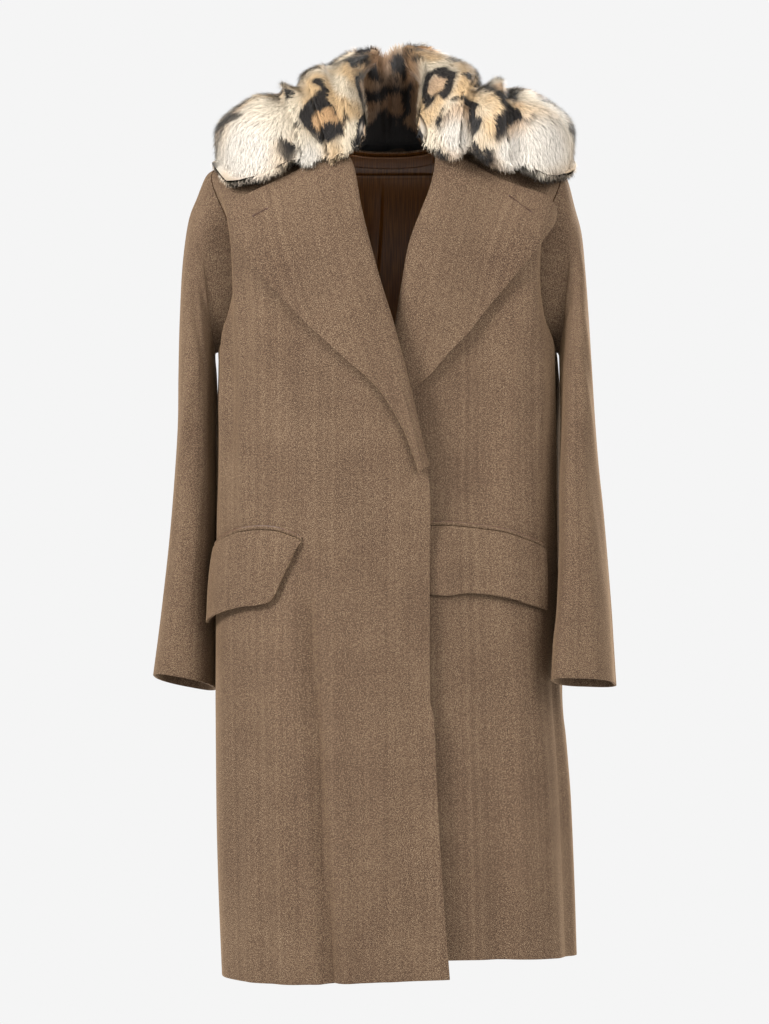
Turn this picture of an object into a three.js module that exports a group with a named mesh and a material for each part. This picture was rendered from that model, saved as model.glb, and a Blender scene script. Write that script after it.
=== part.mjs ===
// A knee-length wool coat with a spotted fur collar, filled out as if worn, with no wearer.
// Millimetres, +Z up, the front faces -Y, and the wearer's right is at -X.
// The origin lies between the two shoulder neck points, where the wearer's shoulders carry the coat.
import * as THREE from 'three';

// Driving sizes
const clothWall = 2.6; // coating wool with its interlining
const seamHalfGap = 0.2; // each piece stops this far short of a seam
const hemHeight = -1024;
const shoulderEndHeight = -18;
const shoulderEndX = 222;
const neckPoint = { x: 72, z: 22 }; // where a shoulder seam meets the collar
const backNeckDepth = 66; // how far behind the shoulder line the back neck lies
const domeFront = 130; // height over which the chest rounds back to the shoulder seam
const domeBack = 118;
const armhole = { height: 232, depth: 122 };
const squareness = 2.6; // power of the body's rounded-square sections
const layerDrop = { lapels: 25, skirt: 12 }; // how far the under front lies behind the over front
const lapelWall = 3.2;
const flapWall = 3.2;
const weltWall = 1.6;
const liningWall = 1.2;

// The body's sections: half widths to each side and depths from the shoulder line.
const bodySections = curve(['z', 'right', 'left', 'front', 'back'], [
  [-1040, 209, 237, 158, 150],
  [-900, 215, 233, 155, 145],
  [-780, 218, 228, 151, 139],
  [-660, 219, 220, 148, 134],
  [-540, 219, 217, 145, 130],
  [-430, 218, 215, 142, 127],
  [-330, 217, 214, 138, 124],
  [-250, 216, 213, 134, 121],
  [-196, 220, 216, 129, 118],
  [-150, 225, 220, 124, 115],
  [-106, 231, 226, 122, 114],
  [-70, 237, 232, 122, 114],
  [-18, 250, 245, 122, 114],
]);

// Hem height round the coat, by arc: -1 is the right side seam, 0 the centre front, 1 the left side seam, 2 the centre back.
const overHem = curve(['arc', 'z'], [[-1, -1034], [-0.5, -1031], [0, -1025], [0.4, -1020]]);
const underHem = curve(['arc', 'z'], [[-0.2, -1001], [0.35, -1001], [0.65, -1004], [1, -1011]]);
const backHem = curve(['turn', 'z'], [[0, -1034], [0.5, -1030], [1, -1022], [1.5, -1014], [2, -1011]]);

// Soft folds down the body: arc position at the top and bottom, the heights between which it shows,
// its half width along the arc, and how far it stands out, or in where that is negative.
const bodyFolds = table(['top', 'bottom', 'from', 'to', 'width', 'height'], [
  [-0.36, -0.24, -500, -1060, 0.05, -6],
  [-0.29, -0.16, -480, -1060, 0.07, 4],
  [-0.47, -0.42, -560, -1060, 0.07, 4],
  [-0.62, -0.66, -590, -980, 0.06, -3.5],
  [-0.76, -0.8, -520, -1060, 0.06, 3],
  [-0.7, -0.78, -60, -420, 0.05, 4],
  [-0.61, -0.67, -90, -400, 0.04, -3.5],
  [-0.52, -0.56, -120, -430, 0.05, 3],
  [0.66, 0.72, -90, -400, 0.05, 3.5],
  [0.42, 0.36, -330, -640, 0.08, -4],
  [0.55, 0.6, -560, -1060, 0.08, 3],
  [0.4, 0.44, -620, -1060, 0.06, -3.5],
  [0.84, 0.86, -700, -1060, 0.06, 3],
  [-1, -1, -290, -860, 0.16, -12],
  [-1, -1, -690, -1060, 0.05, -4],
  [1, 1, -720, -1060, 0.05, -4],
  [1.3, 1.28, -180, -1060, 0.09, 4],
  [1.46, 1.48, -300, -1060, 0.08, -5],
  [1.66, 1.62, -240, -1060, 0.09, 4],
  [1.84, 1.86, -420, -1060, 0.07, -4],
  [-1.9, -1.93, -380, -1060, 0.08, 4],
  [-1.72, -1.7, -260, -1060, 0.08, -5],
  [-1.52, -1.5, -200, -1060, 0.09, 5],
  [-1.28, -1.3, -420, -1060, 0.08, -4],
]);

// The line on which the over lapel rolls, then the front edge down to the hem.
const overEdge = curve(['z', 'x'], [
  [22, -72], [0, -58], [-28, -46.6], [-77, -37.8], [-123, -26.8], [-175, -12.3], [-221, 2.2], [-275, 16.7],
  [-314, 26.4], [-366, 38.4], [-414, 50.5], [-540, 51], [-685, 51.7], [-700, 55.5], [-800, 60], [-921, 67], [-1040, 76],
]);
const underEdge = curve(['z', 'x'], [
  [22, 72], [0, 66], [-28, 61], [-60, 51], [-104, 36.2], [-141, 27.7], [-184, 19.2], [-220, 11.9],
  [-262, 3], [-300, -6], [-348, -20], [-540, -22], [-1040, -10],
]);
const overBreak = -414;
const underBreak = -352;

// Each lapel from the collar down to where it runs out: its roll line and its outer edge.
const overLapel = table(['rollX', 'rollZ', 'edgeX', 'edgeZ'], [
  [-56, -8, -184, -70], [-46.6, -28, -191, -86], [-37.8, -77, -174, -129], [-26.8, -123, -139, -177],
  [-12.3, -175, -100, -220], [2.2, -221, -55, -262], [16.7, -275, -12, -302], [30, -328, 15, -345],
  [41, -377, 31, -386], [46.5, -398, 37, -404],
]);
const underLapel = table(['rollX', 'rollZ', 'edgeX', 'edgeZ'], [
  [65, -2, 196, -64], [61, -28, 203, -82], [46, -74, 190, -112], [32, -121, 157.6, -160],
  [19.2, -184, 112, -219], [11.9, -220, 80, -253], [3, -262, 50, -284], [-6, -300, 22, -308],
  [-13, -325, 3, -326], [-18, -342, -6, -338],
]);
// A lapel's section: it starts inside the front, turns round the roll line and lies out on the chest.
// Distance from the roll line, as a length and as a share of the lapel's width, and height above the cloth under it.
const lapelSection = table(['length', 'share', 'height'], [
  [11, 0, -6.4], [4, 0, -7], [-2.6, 0, -5.4], [-5.2, 0, -1.2], [-3.2, 0, 3.6],
  [2, 0.06, 7.2], [2, 0.24, 9.4], [1, 0.5, 8.6], [0, 0.76, 6.6], [0, 1, 5.4],
]);

// The sleeves, from just outside the armhole to the cuff: the outer and inner line, the middle's place
// front to back, the half depths and how far the section is turned, in degrees.
const sleeveColumns = ['outX', 'outZ', 'inX', 'inZ', 'midY', 'front', 'back', 'turn'];
const rightSleeve = table(sleeveColumns, [
  [231, -27, 218.5, -251, 0, 56, 58, 0],
  [242, -54, 219.5, -253, 0, 58, 61, 0],
  [252.5, -84, 220, -256, 2, 61, 63, 0],
  [260, -140, 220, -262, 4, 64, 66, 0],
  [263.5, -210, 220, -276, 6, 66, 67, 0],
  [265, -280, 219.5, -305, 8, 66, 67, 0],
  [266, -345, 217, -352, 9, 64, 66, 0],
  [271, -420, 213, -424, 10, 62, 64, 0],
  [277, -490, 213, -494, 10, 60, 62, 0],
  [285, -565, 213.5, -572, 9, 58, 60, 0],
  [291, -615, 214, -626, 8, 57, 59, 0],
  [297.5, -662, 214.5, -676, 8, 56, 58, 0],
]);
const leftSleeve = table(sleeveColumns, [
  [227, -29, 215.5, -251, 0, 56, 58, 0],
  [237, -66, 216.5, -253, -2, 58, 61, 2],
  [245.5, -100, 217, -256, -5, 61, 62, 5],
  [250, -150, 217, -262, -9, 64, 65, 8],
  [253.5, -205, 217, -276, -15, 66, 66, 11],
  [257, -265, 217, -305, -23, 66, 66, 15],
  [260, -320, 216, -352, -33, 64, 64, 19],
  [265, -385, 213, -424, -46, 62, 62, 23],
  [272, -455, 212, -494, -58, 60, 60, 27],
  [280, -562, 208, -572, -77, 58, 58, 31],
  [283, -612, 203, -618, -84, 57, 57, 33],
  [286, -664, 200, -664, -91, 56, 56, 34],
]);
const armholeAngles = [0, 12, 25, 40, 57, 76, 98, 122, 150, 180];
const sleeveSeamTurn = 24; // the outer sleeve seam lies this far forward of the outer line, in degrees
const cuffSlope = 0.16; // the cuff's back hangs lower than its front

// The pocket flaps: places along the top edge with that edge's height and the bottom edge below it.
const flapColumns = ['topArc', 'topZ', 'bottomArc', 'bottomZ', 'lift'];
const rightFlap = table(flapColumns, [
  [-0.355, -489, -0.375, -497, 2.5], [-0.375, -485, -0.425, -532, 4], [-0.41, -481, -0.475, -560, 5],
  [-0.47, -476, -0.535, -567, 5.5], [-0.55, -475, -0.6, -569, 6], [-0.64, -478, -0.67, -573, 7],
  [-0.73, -485, -0.75, -580, 8.5], [-0.82, -493, -0.83, -588, 10], [-0.875, -498, -0.88, -592, 9],
]);
const leftFlap = table(flapColumns, [
  [0.165, -469, 0.165, -553, 2.5], [0.25, -469, 0.25, -555, 3], [0.34, -471, 0.34, -552, 4],
  [0.43, -474, 0.43, -554, 5], [0.52, -479, 0.515, -559, 6], [0.6, -487, 0.59, -566, 5],
  [0.66, -493, 0.65, -571, 5], [0.7, -498, 0.69, -574, 5],
]);
const weltHeight = 5;
const weltOverFlap = 1.2;

// The collar's sections round the neck, by the turn from the centre back in degrees, plus to the wearer's left.
// Radii and heights of its neck edge, inner wall, crest, outer slope and outer edge.
const collarColumns = ['turn', 'neckU', 'neckZ', 'innerU', 'innerZ', 'crestU', 'crestZ', 'slopeU', 'slopeZ', 'edgeU', 'edgeZ'];
const collarSections = curve(collarColumns, [
  [-158, 82, -4, 66, 26, 86, 60, 116, 36, 130, -22],
  [-146, 76, 0, 60, 46, 82, 96, 126, 66, 144, -28],
  [-132, 70, 6, 58, 62, 84, 120, 144, 86, 182, -34],
  [-116, 68, 12, 60, 74, 86, 130, 160, 84, 218, -46],
  [-102, 66, 18, 62, 80, 86, 133, 168, 80, 228, -34],
  [-90, 66, 20, 62, 82, 84, 134, 170, 76, 230, -12],
  [-70, 64, 16, 60, 84, 84, 140, 158, 90, 216, -26],
  [-48, 62, 8, 56, 86, 80, 146, 140, 96, 190, -62],
  [-24, 58, 2, 52, 88, 76, 151, 126, 94, 160, -88],
  [0, 56, 0, 50, 88, 74, 152, 122, 92, 150, -98],
  [24, 58, 2, 52, 88, 76, 155, 126, 96, 160, -90],
  [48, 62, 8, 56, 86, 80, 151, 140, 98, 190, -64],
  [70, 64, 16, 60, 84, 84, 144, 160, 92, 220, -28],
  [90, 66, 20, 62, 82, 86, 140, 174, 80, 238, -12],
  [102, 66, 18, 62, 80, 86, 138, 172, 84, 238, -30],
  [116, 68, 12, 60, 74, 86, 134, 162, 88, 224, -40],
  [132, 70, 6, 58, 62, 84, 124, 146, 84, 186, -30],
  [146, 76, 0, 60, 46, 82, 98, 128, 66, 146, -22],
  [158, 82, -4, 68, 24, 86, 58, 116, 34, 130, -16],
]);
const collarCentre = { x: 4, y: 10 };
// Creases that part the collar's gathered lobes: where they lie round the neck, how deep and how wide.
const collarCreases = table(['turn', 'depth', 'width'], [
  [-140, 9, 5], [-121, 14, 4], [-106, 12, 4], [-76, 12, 5], [-46, 13, 5], [-14, 10, 5],
  [16, 12, 5], [45, 12, 5], [74, 13, 5], [101, 15, 4], [118, 14, 4], [140, 9, 5],
]);

// Rows of named columns
function table(columns, rows) {
  return rows.map((row) => Object.fromEntries(columns.map((name, i) => [name, row[i]])));
}

// A smooth curve through rows of named columns, read by the first column, whichever way that runs.
function curve(columns, rows) {
  const [key, ...names] = columns;
  const points = table(columns, rows).sort((a, b) => a[key] - b[key]);
  const slopes = points.map((_, i) => {
    const before = points[Math.max(i - 1, 0)];
    const after = points[Math.min(i + 1, points.length - 1)];
    return Object.fromEntries(names.map((n) => [n, (after[n] - before[n]) / (after[key] - before[key])]));
  });
  return (at) => {
    const t = Math.min(Math.max(at, points[0][key]), points.at(-1)[key]);
    const i = Math.max(0, Math.min(points.findIndex((p) => p[key] >= t) - 1, points.length - 2));
    const span = points[i + 1][key] - points[i][key];
    const s = (t - points[i][key]) / span;
    return Object.fromEntries(names.map((n) => [n, hermite(s, span, points[i][n], points[i + 1][n],
      slopes[i][n], slopes[i + 1][n])]));
  };
}

function hermite(s, span, start, end, startSlope, endSlope) {
  const s2 = s * s;
  const s3 = s2 * s;
  return (2 * s3 - 3 * s2 + 1) * start + (s3 - 2 * s2 + s) * span * startSlope
    + (3 * s2 - 2 * s3) * end + (s3 - s2) * span * endSlope;
}

// A table's rows joined by a smooth curve and read at evenly spaced places, or at given shares of its length.
function alongTable(rows, shares) {
  const names = Object.keys(rows[0]);
  const read = curve(['row', ...names], rows.map((row, i) => [i, ...names.map((n) => row[n])]));
  return shares.map((share) => read(share * (rows.length - 1)));
}

const evenShares = (count) => Array.from({ length: count + 1 }, (_, i) => i / count);
const mix = (a, b, share) => a + (b - a) * share;
const radians = (degrees) => degrees * Math.PI / 180;

function smoothStep(from, to, value) {
  const s = Math.min(Math.max((value - from) / (to - from), 0), 1);
  return s * s * (3 - 2 * s);
}

// The body's form: a rounded-square section at each height, read by arc and by level.
const sectionPower = 2 / squareness;
const arcSteps = 180;
const arcLengths = measureQuarter(218, 142);

// Length round a quarter section, up to each of a row of angles, as shares of the whole.
function measureQuarter(halfWidth, depth) {
  const lengths = [0];
  let [lastX, lastY] = [0, depth];
  for (let i = 1; i <= arcSteps; i += 1) {
    const angle = (i / arcSteps) * Math.PI / 2;
    const x = halfWidth * Math.sin(angle) ** sectionPower;
    const y = depth * Math.max(Math.cos(angle), 0) ** sectionPower;
    lengths.push(lengths[i - 1] + Math.hypot(x - lastX, y - lastY));
    [lastX, lastY] = [x, y];
  }
  return lengths.map((length) => length / lengths[arcSteps]);
}

function angleAtShare(share) {
  const i = Math.min(Math.max(arcLengths.findIndex((l) => l >= share), 1), arcSteps);
  const part = (share - arcLengths[i - 1]) / (arcLengths[i] - arcLengths[i - 1]);
  return ((i - 1 + part) / arcSteps) * Math.PI / 2;
}

function shareAtAngle(angle) {
  const place = Math.min(Math.max(angle / (Math.PI / 2), 0), 1) * arcSteps;
  const i = Math.min(Math.floor(place), arcSteps - 1);
  return mix(arcLengths[i], arcLengths[i + 1], place - i);
}

// Levels run from 0 at the hem to 1 at the chest line and 2 at the shoulder seam, by the angle of the dome.
const chestLine = shoulderEndHeight - domeFront;

function heightAtLevel(level) {
  if (level <= 1) return mix(hemHeight, chestLine, level);
  return shoulderEndHeight - domeFront * (1 - Math.cos((2 - level) * Math.PI / 2));
}

function levelAtHeight(height) {
  if (height <= chestLine) return (height - hemHeight) / (chestLine - hemHeight);
  const drop = Math.min(Math.max((shoulderEndHeight - height) / domeFront, 0), 1);
  return 2 - Math.acos(1 - drop) / (Math.PI / 2);
}

function domeShare(height, radius) {
  const drop = Math.min(Math.max((shoulderEndHeight - height) / radius, 0), 1);
  return Math.sqrt(Math.max(0, 1 - (1 - drop) ** 2));
}

// The shoulder line's height across the coat, and how far a level follows its slope.
function shoulderRise(x) {
  const share = (shoulderEndX - Math.abs(x)) / (shoulderEndX - neckPoint.x);
  return (neckPoint.z - shoulderEndHeight) * Math.min(share, 1);
}

const slopeShare = (height) => smoothStep(-300, shoulderEndHeight, height);

function foldHeight(arc, height) {
  let total = 0;
  for (const fold of bodyFolds) {
    const down = Math.min(Math.max((fold.from - height) / (fold.from - fold.to), 0), 1);
    let away = Math.abs(arc - mix(fold.top, fold.bottom, down));
    away = Math.min(away, 4 - away);
    if (away > 3 * fold.width) continue;
    const fadeIn = smoothStep(fold.from, fold.from - 120, height);
    const fadeOut = fold.to < hemHeight ? 1 : smoothStep(fold.to, fold.to + 120, height);
    total += fold.height * fadeIn * fadeOut * Math.exp(-((away / fold.width) ** 2));
  }
  return total;
}

// A point of the body's outer face. Arcs run from -1 at the right side seam, over the front, to 1 at the
// left side seam, and on over the back, with 2 or -2 at the centre back and 3 the same as -1.
function bodyPoint(anyArc, level, hem) {
  const arc = anyArc > 2 ? anyArc - 4 : anyArc;
  const height = heightAtLevel(level);
  const section = bodySections(height);
  const isBack = Math.abs(arc) > 1;
  const angle = angleAtShare(isBack ? 2 - Math.abs(arc) : Math.abs(arc));
  const side = Math.sign(arc) || 1;
  const facing = isBack ? 1 : -1;
  const halfWidth = side < 0 ? section.right : section.left;
  const depth = isBack ? section.back * domeShare(height, domeBack) : section.front * domeShare(height, domeFront);
  const stand = foldHeight(arc, height);
  const x = side * (halfWidth * Math.sin(angle) ** sectionPower + stand * Math.sin(angle));
  const y = facing * (depth * Math.max(Math.cos(angle), 0) ** sectionPower + stand * Math.cos(angle));
  const hemDrop = hem ? (hem - hemHeight) * smoothStep(-760, hemHeight, height) : 0;
  const z = height + slopeShare(height) * shoulderRise(x) + hemDrop;
  return new THREE.Vector3(x, y, z);
}

function bodyNormal(arc, level) {
  const step = 0.004;
  const across = bodyPoint(arc + step, level).sub(bodyPoint(arc - step, level));
  const up = bodyPoint(arc, Math.min(level + step, 2)).sub(bodyPoint(arc, level - step));
  return across.cross(up).normalize();
}

// The arc and level of the body's front face at a place seen from the front.
function placeOnFront(x, z) {
  let height = z;
  for (let i = 0; i < 12; i += 1) height = mix(height, z - slopeShare(height) * shoulderRise(x), 0.7);
  height = Math.min(height, shoulderEndHeight);
  return { arc: arcAtX(x, height), level: levelAtHeight(height) };
}

function arcAtX(x, height) {
  const section = bodySections(height);
  const halfWidth = x < 0 ? section.right : section.left;
  return Math.sign(x) * shareAtAngle(Math.asin(Math.min(Math.abs(x) / halfWidth, 1) ** (1 / sectionPower)));
}

// A point of an edge curve that gives x by height, on the body's level.
function edgeArc(edge, level) {
  const height = heightAtLevel(level);
  let x = edge(height).x;
  for (let i = 0; i < 10; i += 1) x = edge(height + slopeShare(height) * shoulderRise(x)).x;
  return arcAtX(x, height);
}

// The armhole: an oval from the underarm to the shoulder end, cut out of the front and the back.
const underarmHeight = shoulderEndHeight - armhole.height;

const armholeHeight = (degrees) => mix(underarmHeight, shoulderEndHeight, (1 + Math.cos(radians(degrees))) / 2);

// The arc at which a panel stops at the armhole, on the side given by the sign.
function armholeArc(height, side, isBack) {
  if (height <= underarmHeight) return side;
  const up = (height - underarmHeight) / armhole.height;
  const sine = Math.sqrt(Math.max(0, 1 - (2 * up - 1) ** 2));
  const section = bodySections(height);
  const depth = isBack ? section.back * domeShare(height, domeBack) : section.front * domeShare(height, domeFront);
  const share = depth < 1 ? 0.62 : Math.min((armhole.depth / 2) * sine ** 0.9 / depth, 0.62);
  const angle = Math.acos(share ** (1 / sectionPower));
  return isBack ? side * (2 - shareAtAngle(angle)) : side * shareAtAngle(angle);
}

// Solids

// A wall from a grid of outer points and their outward directions. Rows and columns may run either way.
function wall(outer, directions, thickness) {
  const inner = outer.map((row, i) => row.map((p, j) => p.clone().addScaledVector(directions[i][j], -thickness)));
  const rows = outer.length;
  const columns = outer[0].length;
  const points = [...outer.flat(), ...inner.flat()];
  const at = (face, i, j) => face * rows * columns + i * columns + j;
  const faces = [];
  const quad = (a, b, c, d) => faces.push(a, b, c, a, c, d);
  for (let i = 0; i < rows - 1; i += 1) {
    for (let j = 0; j < columns - 1; j += 1) {
      quad(at(0, i, j), at(0, i, j + 1), at(0, i + 1, j + 1), at(0, i + 1, j));
      quad(at(1, i, j), at(1, i + 1, j), at(1, i + 1, j + 1), at(1, i, j + 1));
    }
    quad(at(0, i, 0), at(0, i + 1, 0), at(1, i + 1, 0), at(1, i, 0));
    quad(at(0, i + 1, columns - 1), at(0, i, columns - 1), at(1, i, columns - 1), at(1, i + 1, columns - 1));
  }
  for (let j = 0; j < columns - 1; j += 1) {
    quad(at(0, 0, j + 1), at(0, 0, j), at(1, 0, j), at(1, 0, j + 1));
    quad(at(0, rows - 1, j), at(0, rows - 1, j + 1), at(1, rows - 1, j + 1), at(1, rows - 1, j));
  }
  return solid(points, faces);
}

// A closed solid through rings of points, with its two ends closed to their middles.
function loft(rings) {
  const around = rings[0].length;
  const middle = (ring) => ring.reduce((sum, p) => sum.add(p), new THREE.Vector3()).divideScalar(around);
  const points = [...rings.flat(), middle(rings[0]), middle(rings.at(-1))];
  const faces = [];
  for (let i = 0; i < rings.length - 1; i += 1) {
    for (let j = 0; j < around; j += 1) {
      const next = (j + 1) % around;
      const [a, b] = [i * around + j, i * around + next];
      faces.push(a, b, b + around, a, b + around, a + around);
    }
  }
  const last = (rings.length - 1) * around;
  for (let j = 0; j < around; j += 1) {
    const next = (j + 1) % around;
    faces.push(points.length - 2, next, j, points.length - 1, last + j, last + next);
  }
  return solid(points, faces);
}

// A geometry whose faces point out, whichever way its points were listed.
function solid(points, faces) {
  let volume = 0;
  for (let i = 0; i < faces.length; i += 3) {
    const [a, b, c] = [points[faces[i]], points[faces[i + 1]], points[faces[i + 2]]];
    volume += a.dot(b.clone().cross(c));
  }
  const index = volume < 0 ? faces.toReversed() : faces;
  const geometry = new THREE.BufferGeometry().setFromPoints(points);
  geometry.setIndex(index);
  geometry.computeVertexNormals();
  return geometry;
}

// Outward directions of a grid from its own neighbours: the sign turns them to the outer side.
function gridDirections(grid, sign) {
  return grid.map((row, i) => row.map((_, j) => {
    const down = grid[Math.min(i + 1, grid.length - 1)][j].clone().sub(grid[Math.max(i - 1, 0)][j]);
    const along = row[Math.min(j + 1, row.length - 1)].clone().sub(row[Math.max(j - 1, 0)]);
    return down.cross(along).normalize().multiplyScalar(sign);
  }));
}

// Body panels

const skirtRows = 14;
const skirtLevels = evenShares(skirtRows).map((s) => levelAtHeight(mix(hemHeight, underarmHeight, s)));
const armholeLevels = armholeAngles.toReversed().slice(1).map((a) => levelAtHeight(armholeHeight(a)));
const bodyLevels = [...skirtLevels, ...armholeLevels];

// A wall cut from the body's form between two edges, each given as an arc by level.
function bodyPanel({ levels, columns, startArc, endArc, hemAt, drop = () => 0, topLevel, facing }) {
  const outer = [];
  const directions = [];
  for (const rowLevel of levels) {
    const from = startArc(rowLevel);
    const to = endArc(rowLevel);
    const row = evenShares(columns).map((share) => {
      const arc = mix(from, to, share);
      const level = topLevel ? fitLevel(rowLevel, topLevel(arc)) : rowLevel;
      const direction = bodyNormal(arc, level);
      const point = bodyPoint(arc, level, hemAt(arc)).addScaledVector(direction, -drop(arc, level));
      if (share === 0 || share === 1) keepSeamGap(point, arc, level, facing);
      if (level > 1.999) point.y = facing * seamHalfGap;
      return { point, direction };
    });
    outer.push(row.map((r) => r.point));
    directions.push(row.map((r) => r.direction));
  }
  return wall(outer, directions, clothWall);
}

// Squeezes the levels above the shoulder blades so that the last one meets a lower top edge.
function fitLevel(level, top) {
  const base = 1.25;
  return level < base ? level : mix(base, top, (level - base) / (2 - base));
}

// Moves a point of a side seam or armhole edge a little off the seam, towards its own panel.
function keepSeamGap(point, arc, level, facing) {
  const isSideSeam = Math.abs(arc - 2) === 1 || Math.abs(arc) === 1;
  if (isSideSeam && level <= levelAtHeight(underarmHeight)) point.y += facing * seamHalfGap;
}

// The under front lies behind the over front where they overlap, and most at the crossing of the lapels.
function underDrop(arc, level) {
  const height = heightAtLevel(level);
  const most = mix(layerDrop.skirt, layerDrop.lapels, smoothStep(-520, -380, height));
  return most * (1 - smoothStep(0.36, 0.7, arc)) * (1 - smoothStep(-90, -30, height));
}

const rollSetBack = 0.5; // the front's wall stops inside the turn of its lapel

function overFront() {
  return bodyPanel({
    levels: bodyLevels,
    columns: 21,
    startArc: (level) => armholeArc(heightAtLevel(level), -1, false),
    endArc: (level) => edgeArc((z) => ({ x: overEdge(z).x - (z > overBreak ? rollSetBack : 0) }), level),
    hemAt: (arc) => overHem(arc).z,
    drop: (arc, level) => -7 * smoothStep(0.05, 0.36, arc) * smoothStep(-560, -800, heightAtLevel(level)),
    facing: -1,
  });
}

function underFront() {
  return bodyPanel({
    levels: bodyLevels,
    columns: 20,
    startArc: (level) => edgeArc((z) => ({ x: underEdge(z).x + (z > underBreak ? rollSetBack : 0) }), level),
    endArc: (level) => armholeArc(heightAtLevel(level), 1, false),
    hemAt: (arc) => underHem(arc).z,
    drop: underDrop,
    facing: -1,
  });
}

// The back neckline lowers the back's top edge between the shoulder neck points.
function backTopLevel(arc) {
  const isInside = (level) => {
    const p = bodyPoint(arc, level);
    return (p.x / neckPoint.x) ** 2 + (p.y / backNeckDepth) ** 2 < 1;
  };
  if (!isInside(2)) return 2;
  let [low, high] = [1.3, 2];
  for (let i = 0; i < 24; i += 1) {
    const middle = (low + high) / 2;
    if (isInside(middle)) high = middle;
    else low = middle;
  }
  return low;
}

function back() {
  return bodyPanel({
    levels: bodyLevels,
    columns: 26,
    startArc: (level) => armholeArc(heightAtLevel(level), 1, true),
    endArc: (level) => 4 + armholeArc(heightAtLevel(level), -1, true),
    hemAt: (arc) => backHem(3 - arc).z,
    topLevel: backTopLevel,
    facing: 1,
  });
}

// Pieces on the fronts

// A point at a height over the front's outer face, seen from the front at x and z.
function overFrontAt(x, z, height, drop) {
  const { arc, level } = placeOnFront(x, z);
  const lift = height - drop(arc, level);
  return bodyPoint(arc, level).addScaledVector(bodyNormal(arc, level), lift);
}

const noDrop = () => 0;

// The facing comes round the roll line from inside the front and lies out on the chest as the lapel.
function lapel(knots, side, drop) {
  const rows = alongTable(knots, evenShares(14));
  const outer = rows.map((row, i) => {
    const across = { x: row.edgeX - row.rollX, z: row.edgeZ - row.rollZ };
    const width = Math.hypot(across.x, across.z);
    const flatten = mix(1, 0.82, smoothStep(0.5, 0.9, i / (rows.length - 1)));
    return lapelSection.map(({ length, share, height }) => {
      const away = (length + share * width) / width;
      const z = row.rollZ + across.z * away;
      return overFrontAt(row.rollX + across.x * away, z, height * (height > 0 ? flatten : 1), drop);
    });
  });
  return wall(outer, gridDirections(outer, -side), lapelWall);
}

const flapColumnCount = 14;

// A flap hangs free from its top edge and stands off more towards its outer end.
function flap(rows, drop) {
  const columns = alongTable(rows, evenShares(flapColumnCount));
  const shares = [0, 0.3, 0.65, 0.92, 1];
  const outer = shares.map((share) => columns.map((column) => {
    const height = mix(column.topZ, column.bottomZ, share);
    const arc = mix(column.topArc, column.bottomArc, share);
    const level = levelAtHeight(height);
    const lift = flapWall + mix(1.2, column.lift, share ** 0.7) - drop(arc, level);
    return bodyPoint(arc, level).addScaledVector(bodyNormal(arc, level), lift);
  }));
  return wall(outer, gridDirections(outer, -1), flapWall);
}

function welt(rows, drop) {
  const columns = alongTable(rows, evenShares(flapColumnCount));
  const outer = [weltHeight, 0.6].map((above) => columns.map((column) => {
    const level = levelAtHeight(column.topZ + above);
    const lift = weltWall + 1.1 - drop(column.topArc, level);
    return bodyPoint(column.topArc, level).addScaledVector(bodyNormal(column.topArc, level), lift);
  }));
  return wall(outer, gridDirections(outer, -1), weltWall);
}

// Sleeves

// A sleeve starts on the armhole's edge, a little outside it.
function armholePoint(side, degrees) {
  const height = armholeHeight(degrees);
  const level = levelAtHeight(height);
  const arc = armholeArc(height, side, Math.sin(radians(degrees)) > 0);
  const point = bodyPoint(arc, level);
  const middle = shoulderEndHeight - armhole.height / 2;
  const inward = new THREE.Vector3(0, -point.y, middle - point.z).normalize();
  point.x += side;
  return point.addScaledVector(bodyNormal(arc, Math.min(level, 1.97)), 0.3).addScaledVector(inward, 1.2);
}

// A point of a sleeve's outer face: rings from the armhole down, angles from the outer line over the back.
function sleevePoint(rows, side, ring, degrees) {
  if (ring === 0) return armholePoint(side, degrees);
  const row = rows[ring - 1];
  const along = Math.cos(radians(degrees));
  const through = Math.sin(radians(degrees + row.turn));
  const x = mix(row.inX, row.outX, (1 + along) / 2);
  const z = mix(row.inZ, row.outZ, (1 + along) / 2);
  const reach = through * (through < 0 ? row.front : row.back);
  const slope = cuffSlope * smoothStep(-440, -660, z);
  return new THREE.Vector3(side * x, row.midY + reach, z - slope * reach);
}

function sleeveHalf(rows, side, fromDegrees, toDegrees, columns) {
  const last = rows.length;
  const outer = [];
  const directions = [];
  for (let ring = 0; ring <= last; ring += 1) {
    const angles = evenShares(columns).map((share) => mix(fromDegrees, toDegrees, share));
    outer.push(angles.map((degrees) => sleevePoint(rows, side, ring, degrees)));
    directions.push(angles.map((degrees) => {
      const around = sleevePoint(rows, side, ring, degrees + 3).sub(sleevePoint(rows, side, ring, degrees - 3));
      const down = sleevePoint(rows, side, Math.min(ring + 1, last), degrees)
        .sub(sleevePoint(rows, side, Math.max(ring - 1, 0), degrees));
      const direction = down.cross(around).multiplyScalar(side);
      if (ring === 0) direction.x = 0;
      return direction.normalize();
    }));
  }
  return wall(outer, directions, clothWall);
}

const sleeveGap = 0.45; // degrees each half stops short of a sleeve seam

function sleeveHalves(rows, side) {
  return {
    front: sleeveHalf(rows, side, -sleeveSeamTurn - sleeveGap, sleeveGap - 180, 12),
    back: sleeveHalf(rows, side, sleeveGap - sleeveSeamTurn, 180 - sleeveGap, 15),
  };
}

// Fur collar

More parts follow.
